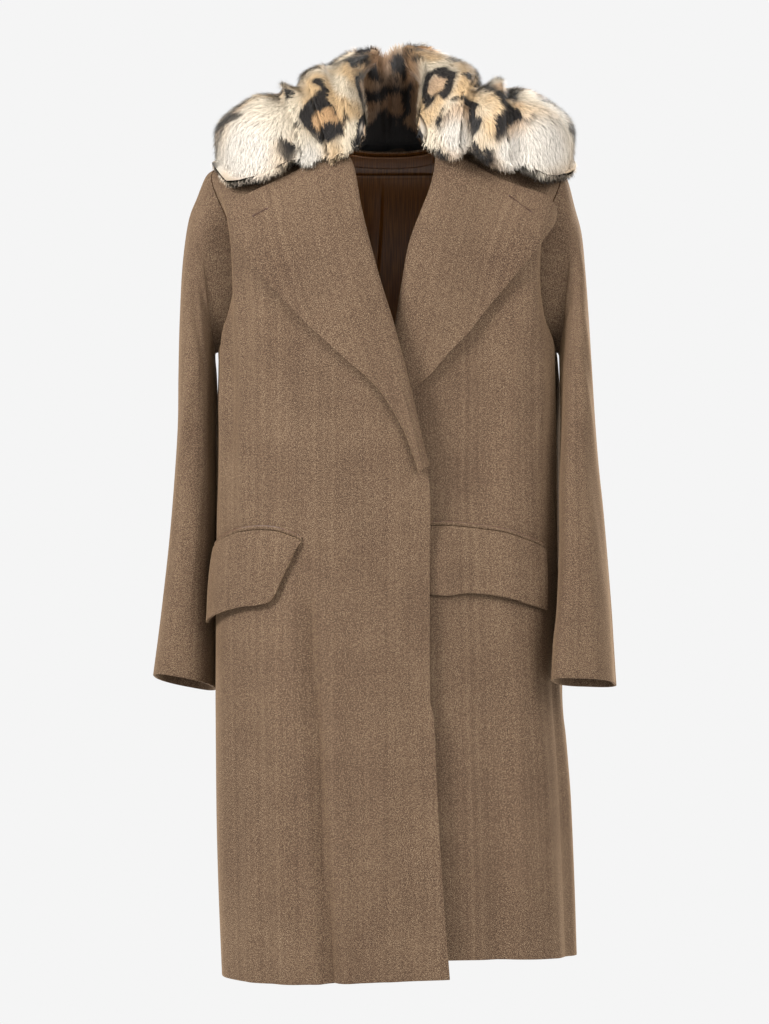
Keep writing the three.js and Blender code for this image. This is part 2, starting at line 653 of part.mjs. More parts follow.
// Height that clears the shoulders' outer face over a place in plan, by a distance square to the cloth.
function overShoulders(x, y, clear) {
  const section = bodySections(shoulderEndHeight);
  const halfWidth = x < 0 ? section.right : section.left;
  const across = Math.min(Math.abs(x) / halfWidth, 0.97);
  const depth = (y < 0 ? section.front : section.back) * (1 - across ** squareness) ** (1 / squareness);
  const share = Math.min(Math.abs(y) / depth, 1);
  const upright = Math.sqrt(1 - share ** 2);
  const height = shoulderEndHeight - (y < 0 ? domeFront : domeBack) * (1 - upright);
  return height + slopeShare(height) * shoulderRise(x) + clear / Math.max(upright, 0.3);
}

function creaseDepth(turn) {
  return collarCreases.reduce((sum, c) => sum + c.depth * Math.exp(-(((turn - c.turn) / c.width) ** 2)), 0);
}

function collarPlace(turn, u, z) {
  const angle = radians(turn);
  return new THREE.Vector3(collarCentre.x + u * Math.sin(angle), collarCentre.y + u * Math.cos(angle), z);
}

// One section of the collar: up inside the neck, over the crest, down the outer slope and back underneath.
function collarRing(turn) {
  const s = collarSections(turn);
  const crease = creaseDepth(turn);
  const knots = [
    [s.neckU, s.neckZ],
    [s.innerU + crease * 0.3, mix(s.neckZ, s.innerZ, 0.5)],
    [s.innerU + crease * 0.6, s.innerZ],
    [s.crestU, s.crestZ - crease],
    [s.slopeU - crease * 0.7, s.slopeZ - crease],
    [mix(s.slopeU, s.edgeU, 0.78) - crease * 0.9, mix(s.slopeZ, s.edgeZ, 0.38) - crease * 0.4],
    [s.edgeU - crease, s.edgeZ + crease * 0.8],
  ];
  const line = new THREE.CatmullRomCurve3(knots.map(([u, z]) => new THREE.Vector3(u, z, 0)));
  const ring = line.getPoints(12).map((p) => collarPlace(turn, p.x, p.y));
  const overLapels = smoothStep(96, 112, Math.abs(turn));
  if (Math.abs(turn) < 128) keepAbove(ring[0], 1.5);
  keepAbove(ring.at(-1), mix(3, 14, overLapels));
  for (const share of [0.86, 0.68, 0.48, 0.24]) {
    const place = collarPlace(turn, mix(s.neckU, s.edgeU - crease * 0.8, share), mix(s.neckZ, s.edgeZ, share) - 4);
    keepAbove(place, mix(7, 14, overLapels));
    ring.push(place);
  }
  return roundEnd(ring, turn);
}

// The collar's two ends draw in, so that each closes as a rounded lobe.
function roundEnd(ring, turn) {
  const draw = 0.45 * smoothStep(147, 158, Math.abs(turn)) ** 2;
  const middle = ring.reduce((sum, p) => sum.add(p), new THREE.Vector3()).divideScalar(ring.length);
  return ring.map((p) => p.lerp(middle, draw));
}

function keepAbove(point, clear) {
  point.z = Math.max(point.z, overShoulders(point.x, point.y, clear));
}

function furCollar() {
  const turns = evenShares(60).map((share) => mix(-158, 158, share));
  return loft(turns.map(collarRing));
}

// Inside the back neck

// The facing band under the neck seam and the lining below it, laid against the back's inner face.
const facingBand = { halfWidth: 64, height: 34, depth: 6.45 };
const liningPiece = { halfWidth: 128, top: -78, bottom: -330, depth: 4.4 };
const liningPleat = curve(['z', 'x'], [[-40, -7], [-125, -12], [-212, -20], [-340, -30]]);
const pleatStand = 5;

// A wall inside the back: rows of heights and their x places, at a depth inside the back's outer face.
function insideBack(rows, depthAt, thickness) {
  const outer = [];
  const directions = [];
  for (const row of rows) {
    const places = row.map(({ x, level }) => ({ arc: backArcAtX(x, level), level }));
    directions.push(places.map(({ arc, level }) => bodyNormal(arc, level)));
    outer.push(places.map(({ arc, level }, i) => bodyPoint(arc, level)
      .addScaledVector(bodyNormal(arc, level), -depthAt(row[i].x, level))));
  }
  return wall(outer, directions, thickness);
}

function backArcAtX(x, level) {
  const section = bodySections(heightAtLevel(level));
  const halfWidth = x < 0 ? section.right : section.left;
  const share = shareAtAngle(Math.asin((Math.abs(x) / halfWidth) ** (1 / sectionPower)));
  return x < 0 ? 2 + share : 2 - share;
}

function neckBand() {
  const xs = evenShares(12).map((share) => mix(-facingBand.halfWidth, facingBand.halfWidth, share));
  const rows = evenShares(3).map((share) => xs.map((x) => {
    const top = backTopLevel(backArcAtX(x, 1.8));
    const bottom = levelAtHeight(heightAtLevel(top) - facingBand.height);
    return { x, level: mix(top - 0.02, bottom, share) };
  }));
  return insideBack(rows, () => facingBand.depth, liningWall);
}

// The lining has a pleat down the centre back, open to one side.
function backLining() {
  const { halfWidth, top, bottom, depth } = liningPiece;
  const columns = [-1, -0.7, -0.42, -0.25, -0.12, -0.05, 0, 0.03, 0.12, 0.3, 0.5, 0.75, 1];
  const rows = evenShares(10).map((share) => {
    const height = mix(top, bottom, share);
    const pleat = liningPleat(height).x;
    return columns.map((c) => ({ x: pleat + c * (halfWidth + c * -pleat), level: levelAtHeight(height) }));
  });
  const stand = (x, level) => {
    const away = x - liningPleat(heightAtLevel(level)).x;
    const shown = smoothStep(top, top - 50, heightAtLevel(level));
    return shown * pleatStand * (away > 0 ? 1 - smoothStep(0, 4, away) : Math.exp(-((away / 30) ** 2)));
  };
  return insideBack(rows, (x, level) => depth + stand(x, level), liningWall);
}

const material = (color, roughness) => new THREE.MeshStandardMaterial({ color, roughness, metalness: 0 });
const wool = material('#7a6552', 0.95);
const fur = material('#e9d2ae', 1);
const lining = material('#4b3220', 0.6);

const coat = new THREE.Group();

function add(name, geometry, finish) {
  const mesh = new THREE.Mesh(geometry, finish);
  mesh.name = name;
  coat.add(mesh);
}

add('front_right', overFront(), wool);
add('front_left', underFront(), wool);
add('back', back(), wool);
const right = sleeveHalves(rightSleeve, -1);
const left = sleeveHalves(leftSleeve, 1);
add('sleeve_front_right', right.front, wool);
add('sleeve_back_right', right.back, wool);
add('sleeve_front_left', left.front, wool);
add('sleeve_back_left', left.back, wool);
add('lapel_right', lapel(overLapel, -1, noDrop), wool);
add('lapel_left', lapel(underLapel, 1, underDrop), wool);
add('flap_right', flap(rightFlap, noDrop), wool);
add('flap_left', flap(leftFlap, underDrop), wool);
add('welt_right', welt(rightFlap, noDrop), wool);
add('welt_left', welt(leftFlap, underDrop), wool);
add('fur_collar', furCollar(), fur);
add('neck_facing', neckBand(), wool);
add('back_lining', backLining(), lining);

export default coat;
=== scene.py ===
# A knee-length brown wool coat with a gathered, spotted fur collar, filled out as if worn.
# Lengths are in millimetres until a mesh is made; the frame is the CAD's own.
import math

import bmesh
import bpy
import numpy as np
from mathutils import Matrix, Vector


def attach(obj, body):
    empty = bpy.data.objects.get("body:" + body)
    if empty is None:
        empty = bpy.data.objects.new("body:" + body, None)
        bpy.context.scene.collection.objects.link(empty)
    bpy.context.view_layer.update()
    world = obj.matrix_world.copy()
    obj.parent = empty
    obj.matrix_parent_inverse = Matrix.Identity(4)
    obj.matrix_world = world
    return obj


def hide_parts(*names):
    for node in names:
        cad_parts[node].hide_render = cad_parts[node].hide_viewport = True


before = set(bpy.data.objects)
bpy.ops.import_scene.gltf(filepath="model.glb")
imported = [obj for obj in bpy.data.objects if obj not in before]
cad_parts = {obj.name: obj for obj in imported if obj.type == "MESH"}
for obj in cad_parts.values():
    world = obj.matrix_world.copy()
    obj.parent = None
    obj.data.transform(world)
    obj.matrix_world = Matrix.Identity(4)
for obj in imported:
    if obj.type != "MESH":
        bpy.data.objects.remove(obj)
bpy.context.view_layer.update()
millimetre = 0.001


def smoothCurve(rows):
    # the first column is where, the others are what is read there, smooth from row to row
    data = np.array(sorted(rows), float)
    keys, values = data[:, 0], data[:, 1:]
    last = len(keys) - 1
    before, after = np.maximum(np.arange(last + 1) - 1, 0), np.minimum(np.arange(last + 1) + 1, last)
    slopes = (values[after] - values[before]) / (keys[after] - keys[before])[:, None]

    def read(at):
        t = np.clip(np.asarray(at, float), keys[0], keys[-1])
        i = np.clip(np.searchsorted(keys, t, side="right") - 1, 0, last - 1)
        span = (keys[i + 1] - keys[i])[..., None]
        s = ((t - keys[i]) / span[..., 0])[..., None]
        return (
            (2 * s**3 - 3 * s**2 + 1) * values[i]
            + (s**3 - 2 * s**2 + s) * span * slopes[i]
            + (3 * s**2 - 2 * s**3) * values[i + 1]
            + (s**3 - s**2) * span * slopes[i + 1]
        )

    return read


def alongRows(rows, shares):
    # the rows of a table joined by a smooth curve, read at shares of its length
    numbered = [(i, *row) for i, row in enumerate(rows)]
    return smoothCurve(numbered)(np.asarray(shares) * (len(rows) - 1))


def mix(a, b, share):
    return a + (b - a) * share


def smoothStep(start, end, value):
    s = np.clip((value - start) / (end - start), 0, 1)
    return s * s * (3 - 2 * s)


def unit(vectors):
    return vectors / np.maximum(np.linalg.norm(vectors, axis=-1, keepdims=True), 1e-9)


def ripple(u, v, seed):
    # gentle unevenness from a few crossing waves, about -1 to 1
    rng = np.random.default_rng(seed)
    total = 0
    for k in range(5):
        a, b, phase = rng.uniform(0.5, 1.6), rng.uniform(-0.7, 0.7), rng.uniform(0, 6.28)
        total = total + np.sin(a * u + b * v + phase + 0.7 * np.sin(0.6 * v + 1.7 * k))
    return total / 5


# The body's form, the same as the solids': a rounded-square section at each height
coatBody = {
    "cloth": 2.6,  # wall of coating wool and interlining
    "hem": -1024, "shoulderEnd": -18, "shoulderEndX": 222, "neckX": 72, "neckZ": 22, "backNeck": 48,
    "domeFront": 130, "domeBack": 118, "squareness": 2.6, "armholeHeight": 232, "armholeDepth": 122,
    "dropLapels": 25, "dropSkirt": 12,
    "quarter": 292,  # the length of cloth in a quarter of the girth
    "armholeMost": 0.62,  # the most of the depth that an armhole takes up
    "hemTurn": 45, "facingWidth": 95,  # the wool turned up inside the hem, and in behind the front edges
    "rowStep": 7.0, "columnStep": 7.0,  # grid of the visible cloth
    "sections": [
        (-1040, 209, 237, 158, 150), (-900, 215, 233, 155, 145), (-780, 218, 228, 151, 139),
        (-660, 219, 220, 148, 134), (-540, 219, 217, 145, 130), (-430, 218, 215, 142, 127),
        (-330, 217, 214, 138, 124), (-250, 216, 213, 134, 121), (-196, 220, 216, 129, 118),
        (-150, 225, 220, 124, 115), (-106, 231, 226, 122, 114), (-70, 237, 232, 122, 114),
        (-18, 250, 245, 122, 114),
    ],
    "folds": [
        (-0.36, -0.24, -500, -1060, 0.05, -6), (-0.29, -0.16, -480, -1060, 0.07, 4),
        (-0.47, -0.42, -560, -1060, 0.07, 4), (-0.62, -0.66, -590, -980, 0.06, -3.5),
        (-0.76, -0.8, -520, -1060, 0.06, 3), (-0.7, -0.78, -60, -420, 0.05, 4),
        (-0.61, -0.67, -90, -400, 0.04, -3.5), (-0.52, -0.56, -120, -430, 0.05, 3),
        (0.66, 0.72, -90, -400, 0.05, 3.5), (0.42, 0.36, -330, -640, 0.08, -4),
        (0.55, 0.6, -560, -1060, 0.08, 3), (0.4, 0.44, -620, -1060, 0.06, -3.5),
        (0.84, 0.86, -700, -1060, 0.06, 3), (-1, -1, -600, -860, 0.12, -1.5), (-1, -1, -690, -1060, 0.05, -4),
        (1, 1, -720, -1060, 0.05, -4), (1.1, 1.1, -190, -720, 0.07, 8), (-1.1, -1.1, -200, -720, 0.07, 1.8),
        (1.3, 1.28, -180, -1060, 0.09, 4), (1.46, 1.48, -300, -1060, 0.08, -5),
        (1.66, 1.62, -240, -1060, 0.09, 4), (1.84, 1.86, -420, -1060, 0.07, -4),
        (-1.9, -1.93, -380, -1060, 0.08, 4), (-1.72, -1.7, -260, -1060, 0.08, -5),
        (-1.52, -1.5, -200, -1060, 0.09, 5), (-1.28, -1.3, -420, -1060, 0.08, -4),
    ],
    "overHem": [(-1, -1034), (-0.5, -1031), (0, -1025), (0.4, -1020)],
    "underHem": [(-0.2, -1001), (0.35, -1001), (0.65, -1004), (1, -1011)],
    "backHem": [(0, -1034), (0.5, -1030), (1, -1022), (1.5, -1014), (2, -1011)],
    "overEdge": [
        (22, -72), (0, -58), (-28, -46.6), (-77, -37.8), (-123, -26.8), (-175, -12.3), (-221, 2.2),
        (-275, 16.7), (-314, 26.4), (-366, 38.4), (-414, 50.5), (-540, 51), (-685, 51.7), (-700, 55.5),
        (-800, 60), (-921, 67), (-1040, 76),
    ],
    "underEdge": [
        (22, 72), (0, 66), (-28, 61), (-60, 51), (-104, 36.2), (-141, 27.7), (-184, 19.2), (-220, 11.9),
        (-262, 3), (-300, -6), (-348, -20), (-540, -22), (-1040, -10),
    ],
    "overBreak": -414, "underBreak": -352, "rollSetBack": 0.5,
}
power = 2 / coatBody["squareness"]
sectionAt = smoothCurve(coatBody["sections"])
overHemAt, underHemAt, backHemAt = (smoothCurve(coatBody[k]) for k in ("overHem", "underHem", "backHem"))
overEdgeAt, underEdgeAt = smoothCurve(coatBody["overEdge"]), smoothCurve(coatBody["underEdge"])
chestLine = coatBody["shoulderEnd"] - coatBody["domeFront"]
underarm = coatBody["shoulderEnd"] - coatBody["armholeHeight"]
quarterAngles = np.linspace(0, math.pi / 2, 181)
quarterX = 218 * np.sin(quarterAngles) ** power
quarterY = 142 * np.maximum(np.cos(quarterAngles), 0) ** power
quarterShares = np.concatenate([[0], np.cumsum(np.hypot(np.diff(quarterX), np.diff(quarterY)))])
quarterShares /= quarterShares[-1]


def heightAt(level):
    # levels run from 0 at the hem to 1 at the chest line and 2 at the shoulder seam
    high = coatBody["shoulderEnd"] - coatBody["domeFront"] * (1 - np.cos((2 - level) * math.pi / 2))
    return np.where(level <= 1, mix(coatBody["hem"], chestLine, level), high)


def levelAt(height):
    drop = np.clip((coatBody["shoulderEnd"] - height) / coatBody["domeFront"], 0, 1)
    low = (height - coatBody["hem"]) / (chestLine - coatBody["hem"])
    return np.where(height <= chestLine, low, 2 - np.arccos(1 - drop) / (math.pi / 2))


def domeShare(height, radius):
    drop = np.clip((coatBody["shoulderEnd"] - height) / radius, 0, 1)
    return np.sqrt(np.maximum(0, 1 - (1 - drop) ** 2))


def slopeShare(height):
    return smoothStep(-300, coatBody["shoulderEnd"], height)


def shoulderRise(x):
    share = (coatBody["shoulderEndX"] - np.abs(x)) / (coatBody["shoulderEndX"] - coatBody["neckX"])
    return (coatBody["neckZ"] - coatBody["shoulderEnd"]) * np.minimum(share, 1)


def foldStand(arc, height):
    # the large folds of the solids, then the small unevenness that the wool shows between them
    total = np.zeros(np.broadcast(arc, height).shape)
    for top, bottom, start, end, width, stand in coatBody["folds"]:
        down = np.clip((start - height) / (start - end), 0, 1)
        away = np.abs(arc - mix(top, bottom, down))
        away = np.minimum(away, 4 - away)
        fadeIn = smoothStep(start, start - 120, height)
        fadeOut = 1 if end < coatBody["hem"] else smoothStep(end, end + 120, height)
        total = total + stand * fadeIn * fadeOut * np.exp(-((away / width) ** 2))
    return total + fineFolds(arc, height)


def fineFolds(arc, height):
    long = ripple(arc * 26, height / 260, 4) * 0.9
    short = ripple(arc * 9, height / 70, 9) * 0.5
    return (long + short) * smoothStep(-30, -140, height) + sewnFolds(arc, height)


coatWear = {
    # folds that only the cloth itself shows: arc at top and bottom, top, bottom, width, stand
    "drapes": [
        (-0.335, -0.235, -500, -1060, 0.024, -6), (-0.40, -0.285, -500, -1060, 0.03, 5),
        (-0.66, -0.62, -130, -520, 0.024, 4.5), (-0.725, -0.71, -100, -420, 0.022, -5),
        (-0.79, -0.78, -110, -520, 0.022, 4), (0.92, 0.92, -200, -740, 0.05, -10),
        (-0.93, -0.93, -230, -700, 0.045, -6), (0.8, 0.82, -180, -700, 0.04, 3),
        (-0.56, -0.5, -620, -1060, 0.03, -2.4), (-0.66, -0.6, -600, -1060, 0.03, 2.2),
        (-0.16, -0.12, -560, -1060, 0.03, -1.8), (-0.05, 0.02, -640, -1060, 0.03, 1.6),
        (0.52, 0.44, -600, -1060, 0.03, -2.2), (0.62, 0.7, -600, -1060, 0.03, 2.2),
        (0.76, 0.78, -600, -1060, 0.025, -2.6), (0.72, 0.62, -120, -440, 0.03, -2.4),
        (0.6, 0.52, -160, -460, 0.03, 2.0), (-0.8, -0.86, -180, -470, 0.03, -2.6),
        (1.72, 1.7, -260, -1060, 0.03, -2.4), (-1.62, -1.6, -240, -1060, 0.03, -2.4),
    ],
    # the cloth sinks towards the sleeve's seam
    "armholeDip": 20, "armholeDipWidth": 12, "armholeSlope": 9, "armholeSlopeWidth": 34,
}


def sewnFolds(arc, height):
    total = np.zeros(np.broadcast(arc, height).shape)
    for top, bottom, start, end, width, stand in coatWear["drapes"]:
        down = np.clip((start - height) / (start - end), 0, 1)
        away = (arc - mix(top, bottom, down)) / width
        fadeOut = 1 if end < coatBody["hem"] else smoothStep(end, end + 120, height)
        total = total + stand * smoothStep(start, start - 90, height) * fadeOut * np.exp(-(away**2))
    return total


def armholeDip(arc, height):
    # how far the cloth is drawn in beside the sleeve's seam
    isBack = np.abs(arc) > 1
    seam = np.where(isBack, 2 - armholeArc(height, 1, True), armholeArc(height, 1, False))
    beside = np.where(isBack, 2 - np.abs(arc), np.abs(arc))
    away = (seam - beside) * coatBody["quarter"] / coatWear["armholeDipWidth"]
    fade = smoothStep(underarm - 10, underarm + 50, height) * smoothStep(-20, -150, height)
    narrow = coatWear["armholeDip"] * np.exp(-(away**2))
    away = away * coatWear["armholeDipWidth"] / coatWear["armholeSlopeWidth"]
    return fade * (narrow + coatWear["armholeSlope"] * np.exp(-(away**2)))


def bodyAt(anyArc, level, hem=None):
    # arcs: -1 right side seam, 0 centre front, 1 left side seam, 2 centre back, 3 the right side again
    anyArc, level = np.broadcast_arrays(np.asarray(anyArc, float), np.asarray(level, float))
    arc = np.where(anyArc > 2, anyArc - 4, anyArc)
    height = heightAt(level)
    section = sectionAt(height)
    isBack = np.abs(arc) > 1
    angle = np.interp(np.where(isBack, 2 - np.abs(arc), np.abs(arc)), quarterShares, quarterAngles)
    side = np.where(arc < 0, -1.0, 1.0)
    facing = np.where(isBack, 1.0, -1.0)
    halfWidth = np.where(side < 0, section[..., 0], section[..., 1])
    depth = np.where(
        isBack,
        section[..., 3] * domeShare(height, coatBody["domeBack"]),
        section[..., 2] * domeShare(height, coatBody["domeFront"]),
    )
    stand = foldStand(arc, height) - armholeDip(arc, height)
    x = side * (halfWidth * np.sin(angle) ** power + stand * np.sin(angle))
    y = facing * (depth * np.maximum(np.cos(angle), 0) ** power + stand * np.cos(angle))
    drop = 0 if hem is None else (hem - coatBody["hem"]) * smoothStep(-760, coatBody["hem"], height)
    return np.stack([x, y, height + slopeShare(height) * shoulderRise(x) + drop], -1)


def bodyNormal(arc, level):
    step = 0.004
    across = bodyAt(arc + step, level) - bodyAt(arc - step, level)
    up = bodyAt(arc, np.minimum(level + step, 2)) - bodyAt(arc, level - step)
    return unit(np.cross(across, up))


def arcAtX(x, height):
    section = sectionAt(height)
    halfWidth = np.where(x < 0, section[..., 0], section[..., 1])
    angle = np.arcsin(np.minimum(np.abs(x) / halfWidth, 1) ** (1 / power))
    return np.sign(x) * np.interp(angle, quarterAngles, quarterShares)


def placeOnFront(x, z):
    x, z = np.broadcast_arrays(np.asarray(x, float), np.asarray(z, float))
    height = z.copy()
    for _ in range(12):
        height = mix(height, z - slopeShare(height) * shoulderRise(x), 0.7)
    height = np.minimum(height, coatBody["shoulderEnd"])
    return arcAtX(x, height), levelAt(height)


def edgeArc(edgeAt, level, setBack, breakHeight):
    height = heightAt(level)
    x = edgeAt(height)[..., 0]
    for _ in range(10):
        z = height + slopeShare(height) * shoulderRise(x)
        x = edgeAt(z)[..., 0] + np.where(z > breakHeight, setBack, 0)
    return arcAtX(x, height)


def armholeArc(height, side, isBack):
    up = np.clip((height - underarm) / coatBody["armholeHeight"], 0, 1)
    sine = np.sqrt(np.maximum(0, 1 - (2 * up - 1) ** 2))
    section = sectionAt(height)
    if isBack:
        depth = section[..., 3] * domeShare(height, coatBody["domeBack"])
    else:
        depth = section[..., 2] * domeShare(height, coatBody["domeFront"])
    most = coatBody["armholeMost"]
    share = coatBody["armholeDepth"] / 2 * sine**0.9 / np.maximum(depth, 1)
    share = np.where(depth < 1, most, np.minimum(share, most))
    around = np.interp(np.arccos(share ** (1 / power)), quarterAngles, quarterShares)
    cut = side * (2 - around) if isBack else side * around
    return np.where(height <= underarm, side, cut)


def underDrop(arc, level):
    height = heightAt(level)
    most = mix(coatBody["dropSkirt"], coatBody["dropLapels"], smoothStep(-520, -380, height))
    return most * (1 - smoothStep(0.36, 0.7, arc)) * (1 - smoothStep(-90, -30, height))


def noDrop(arc, level):
    return np.zeros(np.broadcast(arc, level).shape)


def makeMesh(name, points, faces, slots=None, uv=None, smooth=True):
    mesh = bpy.data.meshes.new(name)
    polygons = [tuple(int(i) for i in face) for face in faces]
    mesh.from_pydata((np.asarray(points) * millimetre).tolist(), [], polygons)
    mesh.update()
    if uv is not None:
        layer = mesh.uv_layers.new(name="cloth")
        corners = np.empty(len(mesh.loops), int)
        mesh.loops.foreach_get("vertex_index", corners)
        layer.data.foreach_set("uv", np.asarray(uv, float)[corners].ravel())
    if slots is not None:
        mesh.polygons.foreach_set("material_index", np.asarray(slots, int))
    mesh.polygons.foreach_set("use_smooth", np.full(len(mesh.polygons), smooth))
    piece = bpy.data.objects.new(name, mesh)
    bpy.context.scene.collection.objects.link(piece)
    return piece


def wallMesh(name, outer, directions, thickness, uv, innerSlot=None):
    # a closed wall of cloth; innerSlot says for each cell whether its inner face is wool or lining
    rows, columns = outer.shape[:2]
    inner = outer - directions * thickness
    points = np.concatenate([outer.reshape(-1, 3), inner.reshape(-1, 3)])
    index = np.arange(rows * columns).reshape(rows, columns)
    a, b, c, d = index[:-1, :-1], index[:-1, 1:], index[1:, 1:], index[1:, :-1]
    front = np.stack([a, b, c, d], -1).reshape(-1, 4)
    n = rows * columns
    back = front[:, ::-1] + n
    rim = np.concatenate([index[0, ::-1], index[1:, 0], index[-1, 1:], index[-2:0:-1, -1]])
    following = np.roll(rim, -1)
    sides = np.stack([rim, following, following + n, rim + n], -1)
    faces = np.concatenate([front, back, sides])
    slots = np.zeros(len(faces), int)
    if innerSlot is not None:
        slots[len(front):2 * len(front)] = innerSlot.reshape(-1)
    a3, b3, c3 = (points[faces[:, k]] for k in (0, 1, 2))
    d3 = points[faces[:, 3]]
    volume = (a3 * (np.cross(b3, c3) + np.cross(c3, d3))).sum()
    if volume < 0:
        faces = faces[:, ::-1]
    flatUv = np.asarray(uv, float).reshape(-1, 2)
    return makeMesh(name, points, faces, slots, np.concatenate([flatUv, flatUv]))


def applyModifiers(piece):
    depsgraph = bpy.context.evaluated_depsgraph_get()
    evaluated = piece.evaluated_get(depsgraph)
    mesh = bpy.data.meshes.new_from_object(evaluated, preserve_all_data_layers=True, depsgraph=depsgraph)
    piece.modifiers.clear()
    old = piece.data
    piece.data = mesh
    bpy.data.meshes.remove(old)
    mesh.name = piece.name
    return piece


def roundEdges(piece, width=0.9, segments=2):
    bevel = piece.modifiers.new("rounded edge", "BEVEL")
    bevel.width = width * millimetre
    bevel.segments = segments
    bevel.limit_method = "ANGLE"
    bevel.angle_limit = math.radians(50)
    bevel.harden_normals = False
    return applyModifiers(piece)


def gridNormals(grid):
    return unit(np.cross(np.gradient(grid, axis=0), np.gradient(grid, axis=1)))


def rowLevels():
    step = coatBody["rowStep"]
    skirt = np.linspace(coatBody["hem"], underarm, int((underarm - coatBody["hem"]) / step) + 1)
    turns = np.radians(np.arange(174, -1, -6))
    above = mix(underarm, coatBody["shoulderEnd"], (1 + np.cos(turns)) / 2)
    return levelAt(np.concatenate([skirt, above]))


def panel(name, columns, startArc, endArc, hemAt, dropAt=noDrop, facing=-1, topLevel=None):
    levels = rowLevels()
    starts, ends = startArc(levels), endArc(levels)
    arcs = mix(starts[:, None], ends[:, None], np.linspace(0, 1, columns + 1)[None, :])
    grid = np.broadcast_to(levels[:, None], arcs.shape).copy()
    if topLevel is not None:
        top = topLevel(arcs)
        grid = np.where(grid < 1.25, grid, mix(1.25, top, (grid - 1.25) / 0.75))
    directions = bodyNormal(arcs, grid)
    outer = bodyAt(arcs, grid, hemAt(arcs)) - directions * dropAt(arcs, grid)[..., None]
    isSeam = (np.abs(np.abs(arcs) - 1) < 1e-6) | (np.abs(arcs - 3) < 1e-6)
    outer[..., 1] += np.where(isSeam, facing * 0.06, 0)
    outer[..., 1] = np.where(grid > 1.999, facing * 0.2, outer[..., 1])
    uv = np.stack([arcs * coatBody["quarter"], heightAt(grid)], -1)
    heights = heightAt(grid)[:-1, :-1]
    # the wool turns up inside the hem, and lining covers the rest
    hemTurn = coatBody["hem"] + coatBody["hemTurn"]
    facingEdge = np.zeros_like(heights, bool)
    if facing < 0:
        x = outer[:-1, :-1, 0]
        edgeAt = overEdgeAt if name == "frontRight" else underEdgeAt
        facingEdge = np.abs(x - edgeAt(heights)[..., 0]) < coatBody["facingWidth"]
    slots = np.where((heights < hemTurn) | facingEdge, 0, 1)
    return roundEdges(wallMesh(name, outer, directions, coatBody["cloth"], uv, slots))


def frontEdgeLift(arc, level):
    # the over front's edge stands forward of the layer under it
    return -7 * smoothStep(0.05, 0.36, arc) * smoothStep(-560, -800, heightAt(level))


def neckLevel(arcs):
    low, high = np.full(arcs.shape, 1.3), np.full(arcs.shape, 2.0)

    def isInside(level):
        p = bodyAt(arcs, level)
        across, back = np.abs(p[..., 0]) / coatBody["neckX"], np.abs(p[..., 1]) / coatBody["backNeck"]
        return across ** coatBody["squareness"] + back ** coatBody["squareness"] < 1

    whole = ~isInside(high)
    for _ in range(22):
        middle = (low + high) / 2
        inside = isInside(middle)
        high, low = np.where(inside, middle, high), np.where(inside, low, middle)
    return np.where(whole, 2.0, low)


columnCount = int(1.2 * coatBody["quarter"] / coatBody["columnStep"])
frontRight = panel(
    "frontRight", columnCount,
    lambda level: armholeArc(heightAt(level), -1, False),
    lambda level: edgeArc(overEdgeAt, level, -coatBody["rollSetBack"], coatBody["overBreak"]),
    lambda arcs: overHemAt(arcs)[..., 0], frontEdgeLift,
)
frontLeft = panel(
    "frontLeft", columnCount,
    lambda level: edgeArc(underEdgeAt, level, coatBody["rollSetBack"], coatBody["underBreak"]),
    lambda level: armholeArc(heightAt(level), 1, False),
    lambda arcs: underHemAt(arcs)[..., 0], underDrop,
)
backPanel = panel(
    "backPanel", int(2 * coatBody["quarter"] / coatBody["columnStep"]),
    lambda level: armholeArc(heightAt(level), 1, True),
    lambda level: 4 + armholeArc(heightAt(level), -1, True),
    lambda arcs: backHemAt(3 - arcs)[..., 0], noDrop, 1, neckLevel,
)
print("fronts and back made")

lapels = {
    "wall": 3.2, "rows": 84,
    "overLapel": [
        (-56, -8, -184, -70), (-46.6, -28, -191, -86), (-37.8, -77, -174, -129), (-26.8, -123, -139, -177),
        (-12.3, -175, -100, -220), (2.2, -221, -55, -262), (16.7, -275, -12, -302), (30, -328, 15, -345),
        (41, -377, 31, -386), (46.5, -398, 37, -404),
    ],
    "underLapel": [
        (65, -2, 196, -64), (61, -28, 203, -82), (46, -74, 190, -112), (32, -121, 157.6, -160),
        (19.2, -184, 112, -219), (11.9, -220, 80, -253), (3, -262, 50, -284), (-6, -300, 22, -308),
        (-13, -325, 3, -326), (-18, -342, -6, -338),
    ],
    "lapelSection": [
        (11, 0, -6.4), (4, 0, -7), (-2.6, 0, -5.4), (-5.2, 0, -1.2), (-3.2, 0, 3.6), (2, 0.06, 7.2),
        (2, 0.24, 9.6), (1, 0.5, 9.2), (0, 0.76, 8.6), (0, 1, 8.8),
    ],
}


def onFront(x, z, height, dropAt):
    arc, level = placeOnFront(x, z)
    return bodyAt(arc, level) + bodyNormal(arc, level) * (height - dropAt(arc, level))[..., None]


